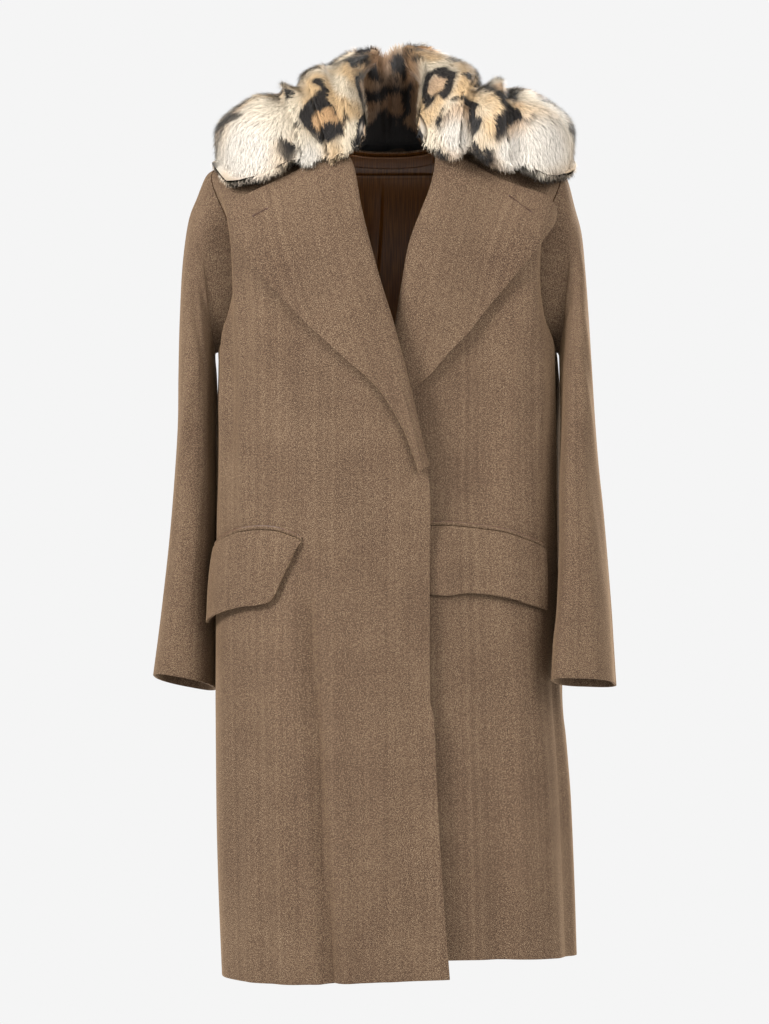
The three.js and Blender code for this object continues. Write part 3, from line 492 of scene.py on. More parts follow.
def lapel(name, rows, dropAt):
    # the facing comes round the roll line from inside the front and lies out on the chest
    shares = np.linspace(0, 1, lapels["rows"])
    places = alongRows(rows, shares)
    rollX, rollZ, edgeX, edgeZ = (places[:, i][:, None] for i in range(4))
    steps = np.concatenate([np.linspace(0, 0.62, 18), np.linspace(0.66, 1, 22)])
    section = alongRows(lapels["lapelSection"], steps)
    length, share, height = (section[:, i][None, :] for i in range(3))
    width = np.hypot(edgeX - rollX, edgeZ - rollZ)
    away = (length + share * width) / width
    flatten = mix(1, 0.82, smoothStep(0.5, 0.9, shares))[:, None]
    stand = height * np.where(height > 0, flatten, 1)
    stand = stand + 5 * smoothStep(0.5, 1, share) * (1 - smoothStep(0.1, 0.45, shares))[:, None]
    outer = onFront(rollX + (edgeX - rollX) * away, rollZ + (edgeZ - rollZ) * away, stand, dropAt)
    uv = np.stack(np.broadcast_arrays(away * width, rollZ * 1.02), -1)
    normals = gridNormals(outer)
    middle = normals[len(normals) // 2, -4]
    if middle[1] > 0:
        normals = -normals
    return roundEdges(wallMesh(name, outer, normals, lapels["wall"], uv), 1.1)


lapelRight = lapel("lapelRight", lapels["overLapel"], noDrop)
lapelLeft = lapel("lapelLeft", lapels["underLapel"], underDrop)

flaps = {
    "wall": 3.2, "weltWall": 1.6, "weltHeight": 6, "columns": 60,
    "rightFlap": [
        (-0.355, -489, -0.375, -497, 2.5), (-0.375, -485, -0.425, -532, 4), (-0.41, -481, -0.475, -560, 5),
        (-0.47, -476, -0.535, -567, 5.5), (-0.55, -475, -0.6, -569, 6), (-0.64, -478, -0.67, -573, 7),
        (-0.73, -485, -0.75, -580, 8.5), (-0.82, -493, -0.83, -588, 10), (-0.875, -498, -0.88, -592, 9),
    ],
    "leftFlap": [
        (0.165, -469, 0.165, -553, 2.5), (0.25, -469, 0.25, -555, 3), (0.34, -471, 0.34, -552, 4),
        (0.43, -474, 0.43, -554, 5), (0.52, -479, 0.515, -559, 6), (0.6, -487, 0.59, -566, 5),
        (0.66, -493, 0.65, -571, 5), (0.7, -498, 0.69, -574, 5),
    ],
}


def surfacePoint(arc, height, lift, dropAt):
    level = levelAt(height)
    return bodyAt(arc, level) + bodyNormal(arc, level) * (lift - dropAt(arc, level))[..., None]


def flap(name, rows, dropAt):
    places = alongRows(rows, np.linspace(0, 1, flaps["columns"]))
    topArc, topZ, bottomArc, bottomZ, hang = (places[:, i][None, :] for i in range(5))
    share = np.linspace(0, 1, 26)[:, None]
    arc, height = mix(topArc, bottomArc, share), mix(topZ, bottomZ, share)
    crown = 1.1 * np.sin(np.pi * np.minimum(share * 1.15, 1))  # the flap bellies a little below its seam
    lift = flaps["wall"] + mix(1.2, hang, share**0.7) + crown + 0.5 * ripple(arc * 40, share * 2, 21)
    outer = surfacePoint(arc, height, lift, dropAt)
    uv = np.stack([arc * coatBody["quarter"], height], -1)
    return roundEdges(wallMesh(name, outer, bodyNormal(arc, levelAt(height)), flaps["wall"], uv), 1.0)


def welt(name, rows, dropAt):
    places = alongRows(rows, np.linspace(0, 1, flaps["columns"]))
    arc = places[:, 0][None, :]
    share = np.linspace(0, 1, 7)[:, None]
    height = places[:, 1][None, :] + mix(flaps["weltHeight"], 0.6, share)
    lift = flaps["weltWall"] + 1.1 + 0.7 * np.sin(np.pi * share) - 0.5
    outer = surfacePoint(arc, height, lift + 0 * arc, dropAt)
    uv = np.stack([0 * height + arc * coatBody["quarter"], height], -1)
    piece = wallMesh(name, outer, bodyNormal(arc, levelAt(height)), flaps["weltWall"], uv)
    # its upper row of cells takes the dark thread finish, a painted shadow line along the welt's upper edge
    for face in piece.data.polygons[:flaps["columns"] - 1]:
        face.material_index = 1
    return roundEdges(piece, 0.3)


flapRight = flap("flapRight", flaps["rightFlap"], noDrop)
flapLeft = flap("flapLeft", flaps["leftFlap"], underDrop)
weltRight = welt("weltRight", flaps["rightFlap"], noDrop)
weltLeft = welt("weltLeft", flaps["leftFlap"], underDrop)
print("lapels, flaps and welts made")

# Sleeve rows: outer line x and z, inner line x and z, middle y, half depths to front and back,
# turn in degrees
sleeves = {
    "seamTurn": 24, "gap": 0.45, "cuffSlope": 0.16, "rings": 118, "squareness": 2.7,
    "rightSleeve": [
        (231, -27, 218.5, -251, 0, 56, 58, 0), (242, -54, 219.5, -253, 0, 58, 61, 0),
        (252.5, -84, 220, -256, 2, 61, 63, -2), (260, -140, 220, -262, 4, 64, 66, -4),
        (263.5, -210, 219, -276, 6, 66, 67, -6), (265, -280, 218, -305, 8, 66, 67, -8),
        (266, -345, 218.6, -352, 9, 64, 66, -8), (271, -420, 219.2, -424, 10, 62, 64, -8),
        (277, -490, 219.6, -494, 10, 60, 62, -8), (285, -565, 219.8, -572, 9, 58, 60, -8),
        (291, -615, 219.8, -626, 8, 57, 59, -8), (297.5, -662, 219.8, -676, 8, 56, 58, -8),
    ],
    "leftSleeve": [
        (227, -29, 215.5, -251, 0, 56, 58, 0), (237, -66, 216.5, -253, -2, 58, 61, 2),
        (245.5, -100, 217, -256, -5, 61, 62, 5), (250, -150, 217, -262, -9, 64, 65, 8),
        (253.5, -205, 217, -276, -15, 66, 66, 11), (257, -265, 217, -305, -23, 66, 66, 15),
        (260, -320, 216, -352, -33, 64, 64, 19), (265, -385, 213, -424, -46, 62, 62, 23),
        (272, -455, 212, -494, -58, 60, 60, 27), (280, -562, 208, -572, -77, 58, 58, 31),
        (283, -612, 203, -618, -84, 57, 57, 33), (286, -664, 200, -664, -91, 56, 56, 34),
    ],
    # soft creases: where along the sleeve, turn in degrees, slant, length along, width in degrees, height
    "creases": [
        (3.2, -60, 14, 1.1, 13, 2.2), (4.6, -100, -18, 1.3, 12, -2.2), (6.4, -75, 20, 1.2, 12, 2.4),
        (7.6, -120, -16, 1.1, 14, 1.8), (8.6, -60, 15, 1.2, 12, -1.8), (5.4, 60, 16, 1.2, 15, 2.4),
        (7.1, 110, -18, 1.2, 15, -2.2), (9.4, -95, 10, 1.3, 12, 1.8), (2.4, -110, 20, 0.8, 12, -2.2),
    ],
}


def armholePoint(side, degrees):
    height = mix(underarm, coatBody["shoulderEnd"], (1 + np.cos(np.radians(degrees))) / 2)
    level = levelAt(height)
    isBack = np.sin(np.radians(degrees)) > 0
    arc = np.where(isBack, armholeArc(height, side, True), armholeArc(height, side, False))
    point = bodyAt(arc, level)
    middle = coatBody["shoulderEnd"] - coatBody["armholeHeight"] / 2
    inward = unit(np.stack([0 * arc, -point[..., 1], middle - point[..., 2]], -1))
    normal = bodyNormal(arc, np.minimum(level, 1.97))
    return point + np.array([side * 0.5, 0, 0]) + normal * 0.2 + inward * 0.4


def sleeveRing(row, side, degrees, squareness):
    outX, outZ, inX, inZ, middleY, front, back, turn = row
    bend = 2 / squareness
    cosine, sine = np.cos(np.radians(degrees)), np.sin(np.radians(degrees + turn))
    along = (1 + np.sign(cosine) * np.abs(cosine) ** bend) / 2
    through = np.sign(sine) * np.abs(sine) ** bend
    z = mix(inZ, outZ, along)
    reach = through * np.where(through < 0, front, back)
    slope = sleeves["cuffSlope"] * smoothStep(-440, -660, z)
    return np.stack([side * mix(inX, outX, along), middleY + reach, z - slope * reach], -1)


def sleeveSurface(rows, side, places, degrees):
    squares = mix(2, sleeves["squareness"], smoothStep(0, 5, np.arange(len(rows))))
    rings = [sleeveRing(row, side, degrees, square) for row, square in zip(rows, squares)]
    rings = [armholePoint(side, degrees), *rings]
    flat = smoothCurve([(i, *ring.ravel()) for i, ring in enumerate(rings)])(places)
    points = flat.reshape(len(places), len(degrees), 3)
    return points


def sleeveHalf(name, rows, side, fromDegrees, toDegrees, columns):
    places = np.linspace(0, len(rows), sleeves["rings"])
    degrees = np.linspace(fromDegrees, toDegrees, columns + 1)
    wide = np.concatenate([[degrees[0] * 2 - degrees[1]], degrees, [degrees[-1] * 2 - degrees[-2]]])
    points = sleeveSurface(rows, side, places, wide)
    normals = gridNormals(points)
    outward = points - points.mean(axis=1, keepdims=True)
    if (normals * outward).sum() < 0:
        normals = -normals
    stand = 0.5 * ripple(wide[None, :] / 24, places[:, None] * 1.4, 31 + (side > 0))
    for place, turn, slant, length, width, height in sleeves["creases"]:
        turnHere = turn * side * -1 if side > 0 and turn > 0 else turn
        away = (wide[None, :] - turnHere - slant * (places[:, None] - place)) / width
        stand = stand + height * np.exp(-(away**2) - ((places[:, None] - place) / length) ** 2)
    points = points + normals * (stand * smoothStep(0.4, 2, places)[:, None])[..., None]
    normals = gridNormals(points)
    if (normals * outward).sum() < 0:
        normals = -normals
    points, normals = points[:, 1:-1], normals[:, 1:-1]
    normals[0, :, 0] = 0
    normals = unit(normals)
    down = np.concatenate([[0], np.cumsum(np.linalg.norm(np.diff(points[:, columns // 2], axis=0), axis=-1))])
    sideways = np.linalg.norm(np.diff(points, axis=1), axis=-1)
    across = np.concatenate([0 * sideways[:, :1], np.cumsum(sideways, axis=1)], axis=1)
    steps = np.linalg.norm(np.diff(points[::-1], axis=0), axis=-1)
    upward = np.concatenate([0 * steps[:1], np.cumsum(steps, axis=0)])[::-1]
    uv = np.stack([across - across[:, columns // 2][:, None], upward], -1)
    fromCuff = (down[-1] - down)[:-1, None] + 0 * degrees[None, :-1]
    slots = np.where(fromCuff < 42, 0, 1)
    return roundEdges(wallMesh(name, points, normals, coatBody["cloth"], uv, slots))


def sleevePair(label, rows, side):
    turn, gap = sleeves["seamTurn"], sleeves["gap"]
    frontHalf = sleeveHalf("sleeveFront" + label, rows, side, -turn - gap, gap - 180, 34)
    backHalf = sleeveHalf("sleeveBack" + label, rows, side, gap - turn, 180 - gap, 44)
    return frontHalf, backHalf


sleeveFrontRight, sleeveBackRight = sleevePair("Right", sleeves["rightSleeve"], -1)
sleeveFrontLeft, sleeveBackLeft = sleevePair("Left", sleeves["leftSleeve"], 1)
print("sleeves made")

inside = {
    "bandHalfWidth": 60, "bandHeight": 14, "bandDepth": 6.45, "wall": 1.2,
    "liningHalfWidth": 128, "liningTop": -52, "liningBottom": -330, "liningDepth": 4.4, "pleatStand": 5,
    "pleat": [(-40, -7), (-125, -12), (-212, -20), (-340, -30)],
}


def insideBack(name, x, levels, depth, uv):
    section = sectionAt(heightAt(levels))
    halfWidth = np.where(x < 0, section[..., 0], section[..., 1])
    angle = np.arcsin((np.abs(x) / halfWidth) ** (1 / power))
    share = np.interp(angle, quarterAngles, quarterShares)
    arc = np.where(x < 0, 2 + share, 2 - share)
    directions = bodyNormal(arc, levels)
    return wallMesh(name, bodyAt(arc, levels) - directions * depth[..., None], directions, inside["wall"], uv)


def neckBand():
    x = np.linspace(-1, 1, 40) * inside["bandHalfWidth"]
    section = sectionAt(heightAt(np.array(1.8)))
    halfWidth = np.where(x < 0, section[0], section[1])
    share = np.interp(np.arcsin((np.abs(x) / halfWidth) ** (1 / power)), quarterAngles, quarterShares)
    top = neckLevel(np.where(x < 0, 2 + share, 2 - share))
    bottom = levelAt(heightAt(top) - inside["bandHeight"])
    levels = mix((top - 0.02)[None, :], bottom[None, :], np.linspace(0, 1, 10)[:, None])
    xs = np.broadcast_to(x[None, :], levels.shape)
    depth = np.full(levels.shape, inside["bandDepth"])
    return insideBack("neckBand", xs, levels, depth, np.stack([xs, heightAt(levels)], -1))


def backLining():
    pleatAt = smoothCurve(inside["pleat"])
    stretches = [np.linspace(-1, -0.08, 26), np.linspace(-0.07, 0.05, 16), np.linspace(0.07, 1, 26)]
    columns = np.concatenate(stretches)[None, :]
    heights = np.linspace(inside["liningTop"], inside["liningBottom"], 60)[:, None]
    pleatX = pleatAt(heights[:, 0])
    x = pleatX + columns * (inside["liningHalfWidth"] - columns * pleatX)
    levels = np.broadcast_to(levelAt(heights), x.shape)
    away = x - pleatX
    shown = smoothStep(inside["liningTop"], inside["liningTop"] - 50, heights)
    ridge = np.where(away > 0, 1 - smoothStep(0, 4, away), np.exp(-((away / 30) ** 2)))
    depth = inside["liningDepth"] + shown * inside["pleatStand"] * ridge
    depth = depth + 0.9 * (1 + ripple(x / 16, heights / 60, 77)) * shown
    return insideBack("backLining", x, levels, depth, np.stack([x, np.broadcast_to(heights, x.shape)], -1))


neckFacing, liningPiece = neckBand(), backLining()
print("neck facing and lining made")


# Sections of the collar: turn, then how far out and how high the neck, inner face, crest, slope and edge lie
collar = {
    "centre": (4, 10), "inset": 6.5, "columns": 320, "ringPoints": 84, "puff": 1.6, "lean": 12,
    "collarSections": [
        (-158, 82, -4, 66, 22, 64, 42, 76, 62, 110, 40, 130, -22),
        (-146, 76, 0, 56, 42, 52, 72, 68, 99, 118, 74, 144, -28),
        (-132, 70, 6, 53, 62, 52, 94, 60, 123, 130, 96, 182, -34),
        (-116, 68, 12, 46, 78, 39, 109, 50, 133, 143, 96, 218, -46),
        (-102, 67, 18, 43, 85, 33, 112, 46, 136, 158, 90, 228, -34),
        (-90, 67, 21, 43, 87, 33, 113, 48, 137, 166, 84, 230, -12),
        (-70, 62, 19, 45, 86, 38, 115, 58, 142, 152, 94, 216, -26),
        (-48, 50, 15.5, 49.5, 88, 46, 119, 66, 147, 137, 98, 190, -62),
        (-24, 41, 13.5, 41, 90, 47, 122, 67, 151, 122, 96, 160, -88),
        (0, 38, 13, 39, 90, 47, 124, 67, 152, 118, 94, 150, -98),
        (24, 41, 13.5, 41, 90, 47, 124, 67, 154, 122, 98, 160, -90),
        (48, 50, 15.5, 49, 88, 46, 122, 66, 151, 137, 100, 190, -64),
        (70, 62, 19, 45, 86, 36, 118, 58, 147, 152, 96, 220, -28),
        (90, 67, 21, 41, 84, 29, 114, 50, 144, 168, 88, 238, -12),
        (102, 67, 18, 41, 82, 28, 112, 50, 143, 162, 94, 238, -30),
        (116, 68, 12, 44, 76, 36, 109, 52, 139, 148, 98, 224, -40),
        (132, 70, 6, 52, 62, 51, 95, 63, 127, 134, 92, 186, -24),
        (146, 76, 0, 56, 44, 54, 72, 72, 98, 122, 70, 146, -12),
        (158, 82, -4, 68, 24, 66, 42, 78, 60, 112, 36, 130, -10),
    ],
    # gathers: turn, depth, width in degrees
    "backCreases": [(-72, 10, 5), (-40, 12, 5), (-8, 9, 4), (28, 11, 5), (62, 10, 5)],
    # those in front: x place at height 0, lean, depth and width
    "frontCreases": [
        (-130, -0.32, 17, 8), (-94, -0.3, 14, 7), (-62, -0.04, 9, 6), (108, 0.16, 20, 8), (168, -0.03, 15, 7),
    ],
    # where the fur is nearly white: middle x and z, reach in x and z
    "paleLobes": [
        (-176, -4, 42, 44), (196, 6, 34, 40), (152, -6, 22, 22), (-96, -14, 18, 18), (84, 16, 20, 24),
    ],
}
collarSectionAt = smoothCurve(collar["collarSections"])


def overShoulders(x, y, clear):
    section = sectionAt(np.array(float(coatBody["shoulderEnd"])))
    halfWidth = np.where(x < 0, section[0], section[1])
    across = np.minimum(np.abs(x) / halfWidth, 0.97)
    square = coatBody["squareness"]
    depth = np.where(y < 0, section[2], section[3]) * (1 - across**square) ** (1 / square)
    upright = np.sqrt(1 - np.minimum(np.abs(y) / depth, 1) ** 2)
    radius = np.where(y < 0, coatBody["domeFront"], coatBody["domeBack"])
    height = coatBody["shoulderEnd"] - radius * (1 - upright)
    return height + slopeShare(height) * shoulderRise(x) + clear / np.maximum(upright, 0.3)


def splineThrough(knots, count):
    # a rounded line through each column of knots, read evenly along its length
    read = smoothCurve([(i, *knot.ravel()) for i, knot in enumerate(knots)])
    fine = read(np.linspace(0, len(knots) - 1, 240)).reshape(240, -1, 2)
    out = np.empty((count, fine.shape[1], 2))
    for column in range(fine.shape[1]):
        line = fine[:, column]
        down = np.concatenate([[0], np.cumsum(np.hypot(*np.diff(line, axis=0).T))])
        at = np.linspace(0, down[-1], count)
        out[:, column, 0] = np.interp(at, down, line[:, 0])
        out[:, column, 1] = np.interp(at, down, line[:, 1])
    return out


def backCrease(turns):
    # a narrow crease in a wider dip, so that the cloth between two of them swells
    narrow = sum(d * np.exp(-(((turns - t) / w) ** 2)) for t, d, w in collar["backCreases"])
    wide = sum(5 * np.exp(-(((turns - t) / (2.2 * w)) ** 2)) for t, d, w in collar["backCreases"])
    return (narrow * 0.7 + wide) * (1 - smoothStep(60, 76, np.abs(turns)))


def frontCrease(turns, points):
    total = 0
    for x, lean, depth, width in collar["frontCreases"]:
        away = (points[..., 0] - x - lean * points[..., 2]) / width
        total = total + 0.8 * depth * np.exp(-(away**2)) + 0.55 * depth * np.exp(-((away / 2.6) ** 2))
    return total * smoothStep(58, 78, np.abs(turns))


def collarSkin():
    turns = np.linspace(-158, 158, collar["columns"] + 1)
    neckU, neckZ, innerU, innerZ, lipU, lipZ = collarSectionAt(turns).T[:6]
    crestU, crestZ, slopeU, slopeZ, edgeU, edgeZ = collarSectionAt(turns).T[6:]
    crease = backCrease(turns)
    # the fur's own fullness closes over the neck more than the padding does
    lean = smoothStep(62, 88, np.abs(turns)) * (1 - smoothStep(126, 146, np.abs(turns)))
    lipU, crestU = lipU - collar["lean"] * lean, crestU - 1.9 * collar["lean"] * lean
    knots = np.array([
        (neckU, neckZ), (mix(neckU, innerU, 0.7) + crease * 0.3, mix(neckZ, innerZ, 0.5)),
        (innerU + crease * 0.6, innerZ), (lipU + crease * 0.6, lipZ - crease * 0.4),
        (crestU, crestZ - crease), (slopeU - crease * 0.7, slopeZ - crease),
        (mix(slopeU, edgeU, 0.9) - crease * 0.9, mix(slopeZ, edgeZ, 0.42) - crease * 0.4),
        (edgeU - 5 - crease, edgeZ + crease * 0.8),
    ]).transpose(0, 2, 1)
    top = splineThrough(knots, collar["ringPoints"])
    angle = np.radians(turns)
    centreX, centreY = collar["centre"]
    shares = np.array([0.86, 0.68, 0.48, 0.24])[:, None]
    under = np.stack([
        mix(neckU, edgeU - crease * 0.8, shares), mix(neckZ, edgeZ, shares) - 4,
    ], -1)
    ring = np.concatenate([top, under])
    points = np.stack([
        centreX + ring[..., 0] * np.sin(angle), centreY + ring[..., 0] * np.cos(angle), ring[..., 1],
    ], -1)
    overLapels = smoothStep(96, 112, np.abs(turns))
    count = collar["ringPoints"]
    clear = {i: mix(3, 10.5, overLapels) for i in range(count - 14, count)}
    clear[0] = np.where(np.abs(turns) < 128, 1.5, -900)
    for i in range(count, count + 4):
        clear[i] = mix(7, 11.5, overLapels)
    for i, gap in clear.items():
        points[i, :, 2] = np.maximum(points[i, :, 2], overShoulders(points[i, :, 0], points[i, :, 1], gap))
    middle = points.mean(axis=0, keepdims=True)
    points = points + unit(middle - points) * frontCrease(turns, points)[..., None]
    draw = 0.45 * smoothStep(147, 158, np.abs(turns)) ** 2
    points = mix(points, points.mean(axis=0, keepdims=True), draw[None, :, None])
    # the skin lies under the fur's reach: every section is drawn in towards its own middle line
    wrapped = np.concatenate([points[-1:], points, points[:1]])
    normals = unit(np.cross(np.gradient(wrapped, axis=1)[1:-1], np.gradient(wrapped, axis=0)[1:-1]))
    if (normals * (points - points.mean(axis=0, keepdims=True))).sum() < 0:
        normals = -normals
    lumps = collar["puff"] * ripple(points[..., 0] / 22, points[..., 2] / 26, 3)
    fromEnd = smoothStep(158, 150, np.abs(turns))
    inset = collar["inset"] * mix(0.6, 1, fromEnd) - lumps
    ringShare = np.concatenate([np.linspace(0, 1, count), np.full(4, 0.5)])
    thin = np.where(np.arange(count + 4) < count, 1, 0.25)  # the underside lies close over the shoulders
    points = points - normals * (inset * thin[:, None])[..., None]
    furry = np.where(np.arange(count + 4) < count, smoothStep(0, 0.05, ringShare), 0)
    furry[count:count + 3] = (1, 1, 0.7)  # the hair comes round the lower edge
    return turns, points, furry


def collarMesh():
    turns, points, furry = collarSkin()
    ringCount, columns = points.shape[:2]
    index = np.arange(ringCount * columns).reshape(ringCount, columns)
    nextRing = np.roll(index, -1, axis=0)
    faces = np.stack([index[:, :-1], index[:, 1:], nextRing[:, 1:], nextRing[:, :-1]], -1).reshape(-1, 4)
    flat = points.reshape(-1, 3)
    first, second = len(flat), len(flat) + 1
    flat = np.concatenate([flat, [points[:, 0].mean(0)], [points[:, -1].mean(0)]])
    ends = [(first, int(index[(i + 1) % ringCount, 0]), int(index[i, 0])) for i in range(ringCount)]
    ends += [(second, int(index[i, -1]), int(index[(i + 1) % ringCount, -1])) for i in range(ringCount)]
    a, b, c, d = (flat[faces[:, k]] for k in range(4))
    if (a * (np.cross(b, c) + np.cross(c, d))).sum() < 0:
        faces = faces[:, ::-1]
        ends = [face[::-1] for face in ends]
    skin = makeMesh("collarSkin", flat, [tuple(f) for f in faces] + ends)

    def withEnds(values, extra):
        # the two middles of the closed ends come after the rings' own points
        return np.concatenate([np.broadcast_to(values, points.shape[:2]).reshape(-1), [extra, extra]])

    around = np.broadcast_to(turns, points.shape[:2]).reshape(-1)
    writeValues(skin, "around", np.concatenate([around, [turns[0], turns[-1]]]))
    writeValues(skin, "furry", withEnds(furry[:, None], 0.8))
    # the lobes at both ends are nearly white
    x, z = points[..., 0], points[..., 2]
    pale = sum(
        np.exp(-(((x - midX) / wide) ** 2) - ((z - midZ) / high) ** 2)
        for midX, midZ, wide, high in collar["paleLobes"])
    writeValues(skin, "pale", withEnds(np.minimum(pale * 1.3, 1), 0.8))
    # the inner wall round the neck is painted browner and darker, as painted shade inside the collar
    neckShadeMask = 1 - smoothStep(0.26, 0.40, np.arange(ringCount) / ringCount)[:, None]
    neckShadeMask[-4:] = 0
    writeValues(skin, "deep", withEnds(neckShadeMask * (1 - smoothStep(130, 150, np.abs(turns)))[None, :], 0))
    # combed outwards over the crest and down the slope, fanning away from each gather
    down = unit(np.gradient(points, axis=0))
    across = unit(np.gradient(points, axis=1))
    fan = np.clip(np.gradient(frontCrease(turns, points), axis=1) * -0.5, -1, 1)[..., None]
    flow = unit(down + across * fan * 0.5)
    # at the lower edge and under it the hair hangs
    hanging = np.broadcast_to((0, 0, -1.0), flow.shape) + 0.25 * unit(points[-6:-5] - points[:1])
    atEdge = smoothStep(0.84, 0.94, np.arange(ringCount) / ringCount)[:, None, None]
    flow = unit(mix(flow, unit(hanging), atEdge))
    writeValues(skin, "comb", np.concatenate([flow.reshape(-1, 3), [[0, 0, -1], [0, 0, -1]]]))
    return skin


def writeValues(piece, name, values):
    # numbers or directions written on the mesh's points
    values = np.asarray(values, np.float32)
    kind, key = ("FLOAT_VECTOR", "vector") if values.ndim > 1 else ("FLOAT", "value")
    piece.data.attributes.new(name, kind, "POINT").data.foreach_set(key, values.ravel())


def addNode(tree, kind, settings=None, inputs=None):
    # settings may hold a ramp's colour stops; an input is a value or another node's output
    made = tree.nodes.new(kind)
    settings = dict(settings or {})
    stops = settings.pop("stops", [])
    for _ in stops[2:]:
        made.color_ramp.elements.new(0.5)
    for i, (place, colour) in enumerate(stops):
        made.color_ramp.elements[i].position = place
        made.color_ramp.elements[i].color = linear(colour)
    for key, value in settings.items():
        setattr(made, key, value)
    for key, value in (inputs or {}).items():
        if isinstance(value, bpy.types.NodeSocket):
            tree.links.new(value, made.inputs[key])
        else:
            made.inputs[key].default_value = value
    return made


def newTree(name, sockets):
    tree = bpy.data.node_groups.new(name, "GeometryNodeTree")
    tree.interface.new_socket("Geometry", in_out="INPUT", socket_type="NodeSocketGeometry")
    tree.interface.new_socket("Geometry", in_out="OUTPUT", socket_type="NodeSocketGeometry")
    for label, kind in sockets:
        tree.interface.new_socket(label, in_out="INPUT", socket_type=kind)
    return tree


def growWith(tree, piece, values):
    # inputs are set by their identifiers before the tree is first worked out
    modifier = piece.modifiers.new(tree.name, "NODES")
    modifier.node_group = tree
    for item in tree.interface.items_tree:
        if item.item_type == "SOCKET" and item.in_out == "INPUT" and item.name in values:
            modifier[item.identifier] = values[item.name]
    return applyModifiers(piece)


strands = {
    "count": 215000, "length": 10.5, "width": 0.62, "lift": 0.72, "clump": 0.13, "clumpSize": 60.0,
    "stray": 0.34, "parts": 4, "seed": 5,
}


def strandMesh():
    # one strand: a narrow blade that bends over towards its tip; strandShare is 0 at the root
    half, long = strands["width"] / 2, strands["length"]
    points = [(-half, 0, 0), (half, 0, 0)]
    points += [(side * half * 0.72, -0.05 * long, long * 0.56) for side in (-1, 1)]
    points += [(0, -0.26 * long, long)]
    blade = makeMesh("strand", points, [(0, 1, 3, 2), (2, 3, 4)])
    writeValues(blade, "strandShare", [0, 0, 0.55, 0.55, 1])
    return blade


def strandTree():
    sizes = [(size, "NodeSocketFloat") for size in ("Count", "Lift", "Clump", "Clump size", "Stray")]
    tree = newTree("strands", [
        ("Strand", "NodeSocketObject"), *sizes, ("Seed", "NodeSocketInt"), ("Fur", "NodeSocketMaterial")])
    given = addNode(tree, "NodeGroupInput").outputs
    furry, pale, deep, comb = (
        addNode(tree, "GeometryNodeInputNamedAttribute", {"data_type": kind}, {"Name": name}).outputs[0]
        for name, kind in (
            ("furry", "FLOAT"), ("pale", "FLOAT"), ("deep", "FLOAT"), ("comb", "FLOAT_VECTOR")))
    scatter = addNode(tree, "GeometryNodeDistributePointsOnFaces", {"distribute_method": "RANDOM"}, {
        "Mesh": given["Geometry"], "Density": given["Count"], "Seed": given["Seed"]})
    bare = addNode(tree, "FunctionNodeCompare", {"data_type": "FLOAT", "operation": "LESS_THAN"}, {
        0: furry, 1: 0.5})
    kept = addNode(tree, "GeometryNodeDeleteGeometry", {"domain": "POINT"}, {
        "Geometry": scatter.outputs["Points"], "Selection": bare.outputs[0]})
    normal = scatter.outputs["Normal"]
    where = addNode(tree, "GeometryNodeInputPosition").outputs[0]
    clumps = addNode(tree, "ShaderNodeTexNoise", {"noise_dimensions": "3D"}, {
        "Vector": where, "Scale": given["Clump size"], "Detail": 1.0}).outputs["Color"]
    clumps = addNode(tree, "ShaderNodeVectorMath", {"operation": "MULTIPLY_ADD"}, {
        0: clumps, 1: (4, 4, 4), 2: (-2, -2, -2)}).outputs[0]
    strayWay = addNode(tree, "FunctionNodeRandomValue", {"data_type": "FLOAT_VECTOR"}, {
        0: (-1, -1, -1), 1: (1, 1, 1), "Seed": 3}).outputs[0]
    # a strand lies as it is combed, raised off the skin, drawn into a clump and a little astray
    heading = comb
    for way, amount in ((normal, given["Lift"]), (clumps, given["Clump"]), (strayWay, given["Stray"])):
        heading = addNode(tree, "ShaderNodeVectorMath", {"operation": "MULTIPLY_ADD"}, {
            0: way, 1: amount, 2: heading}).outputs[0]
    turned = addNode(tree, "FunctionNodeAlignRotationToVector", {"axis": "Z", "pivot_axis": "AUTO"}, {
        "Vector": heading})
    settled = addNode(tree, "FunctionNodeAlignRotationToVector", {"axis": "Y", "pivot_axis": "Z"}, {
        "Rotation": turned.outputs[0], "Vector": normal})
    size, shade = (
        addNode(tree, "FunctionNodeRandomValue", {"data_type": "FLOAT"}, {
            2: least, 3: most, "Seed": seed}).outputs[1]
        for least, most, seed in ((0.62, 1.12, 8), (0.0, 1.0, 21)))
    place = addNode(tree, "ShaderNodeVectorMath", {"operation": "SCALE"}, {
        0: where, "Scale": 1000.0}).outputs[0]
    noted = kept.outputs[0]
    for name, kind, value in (
        ("place", "FLOAT_VECTOR", place), ("pale", "FLOAT", pale), ("deep", "FLOAT", deep),
        ("lie", "FLOAT_VECTOR", normal), ("shade", "FLOAT", shade),
    ):
        noted = addNode(tree, "GeometryNodeStoreNamedAttribute", {"data_type": kind, "domain": "POINT"}, {
            "Geometry": noted, "Name": name, "Value": value}).outputs[0]
    blade = addNode(tree, "GeometryNodeObjectInfo", None, {"Object": given["Strand"]}).outputs["Geometry"]
    grown = addNode(tree, "GeometryNodeInstanceOnPoints", None, {
        "Points": noted, "Instance": blade, "Rotation": settled.outputs[0], "Scale": size})
    real = addNode(tree, "GeometryNodeRealizeInstances", None, {"Geometry": grown.outputs[0]})
    dressed = addNode(tree, "GeometryNodeSetMaterial", None, {
        "Geometry": real.outputs[0], "Material": given["Fur"]})
    addNode(tree, "NodeGroupOutput", None, {"Geometry": dressed.outputs[0]})
    return tree


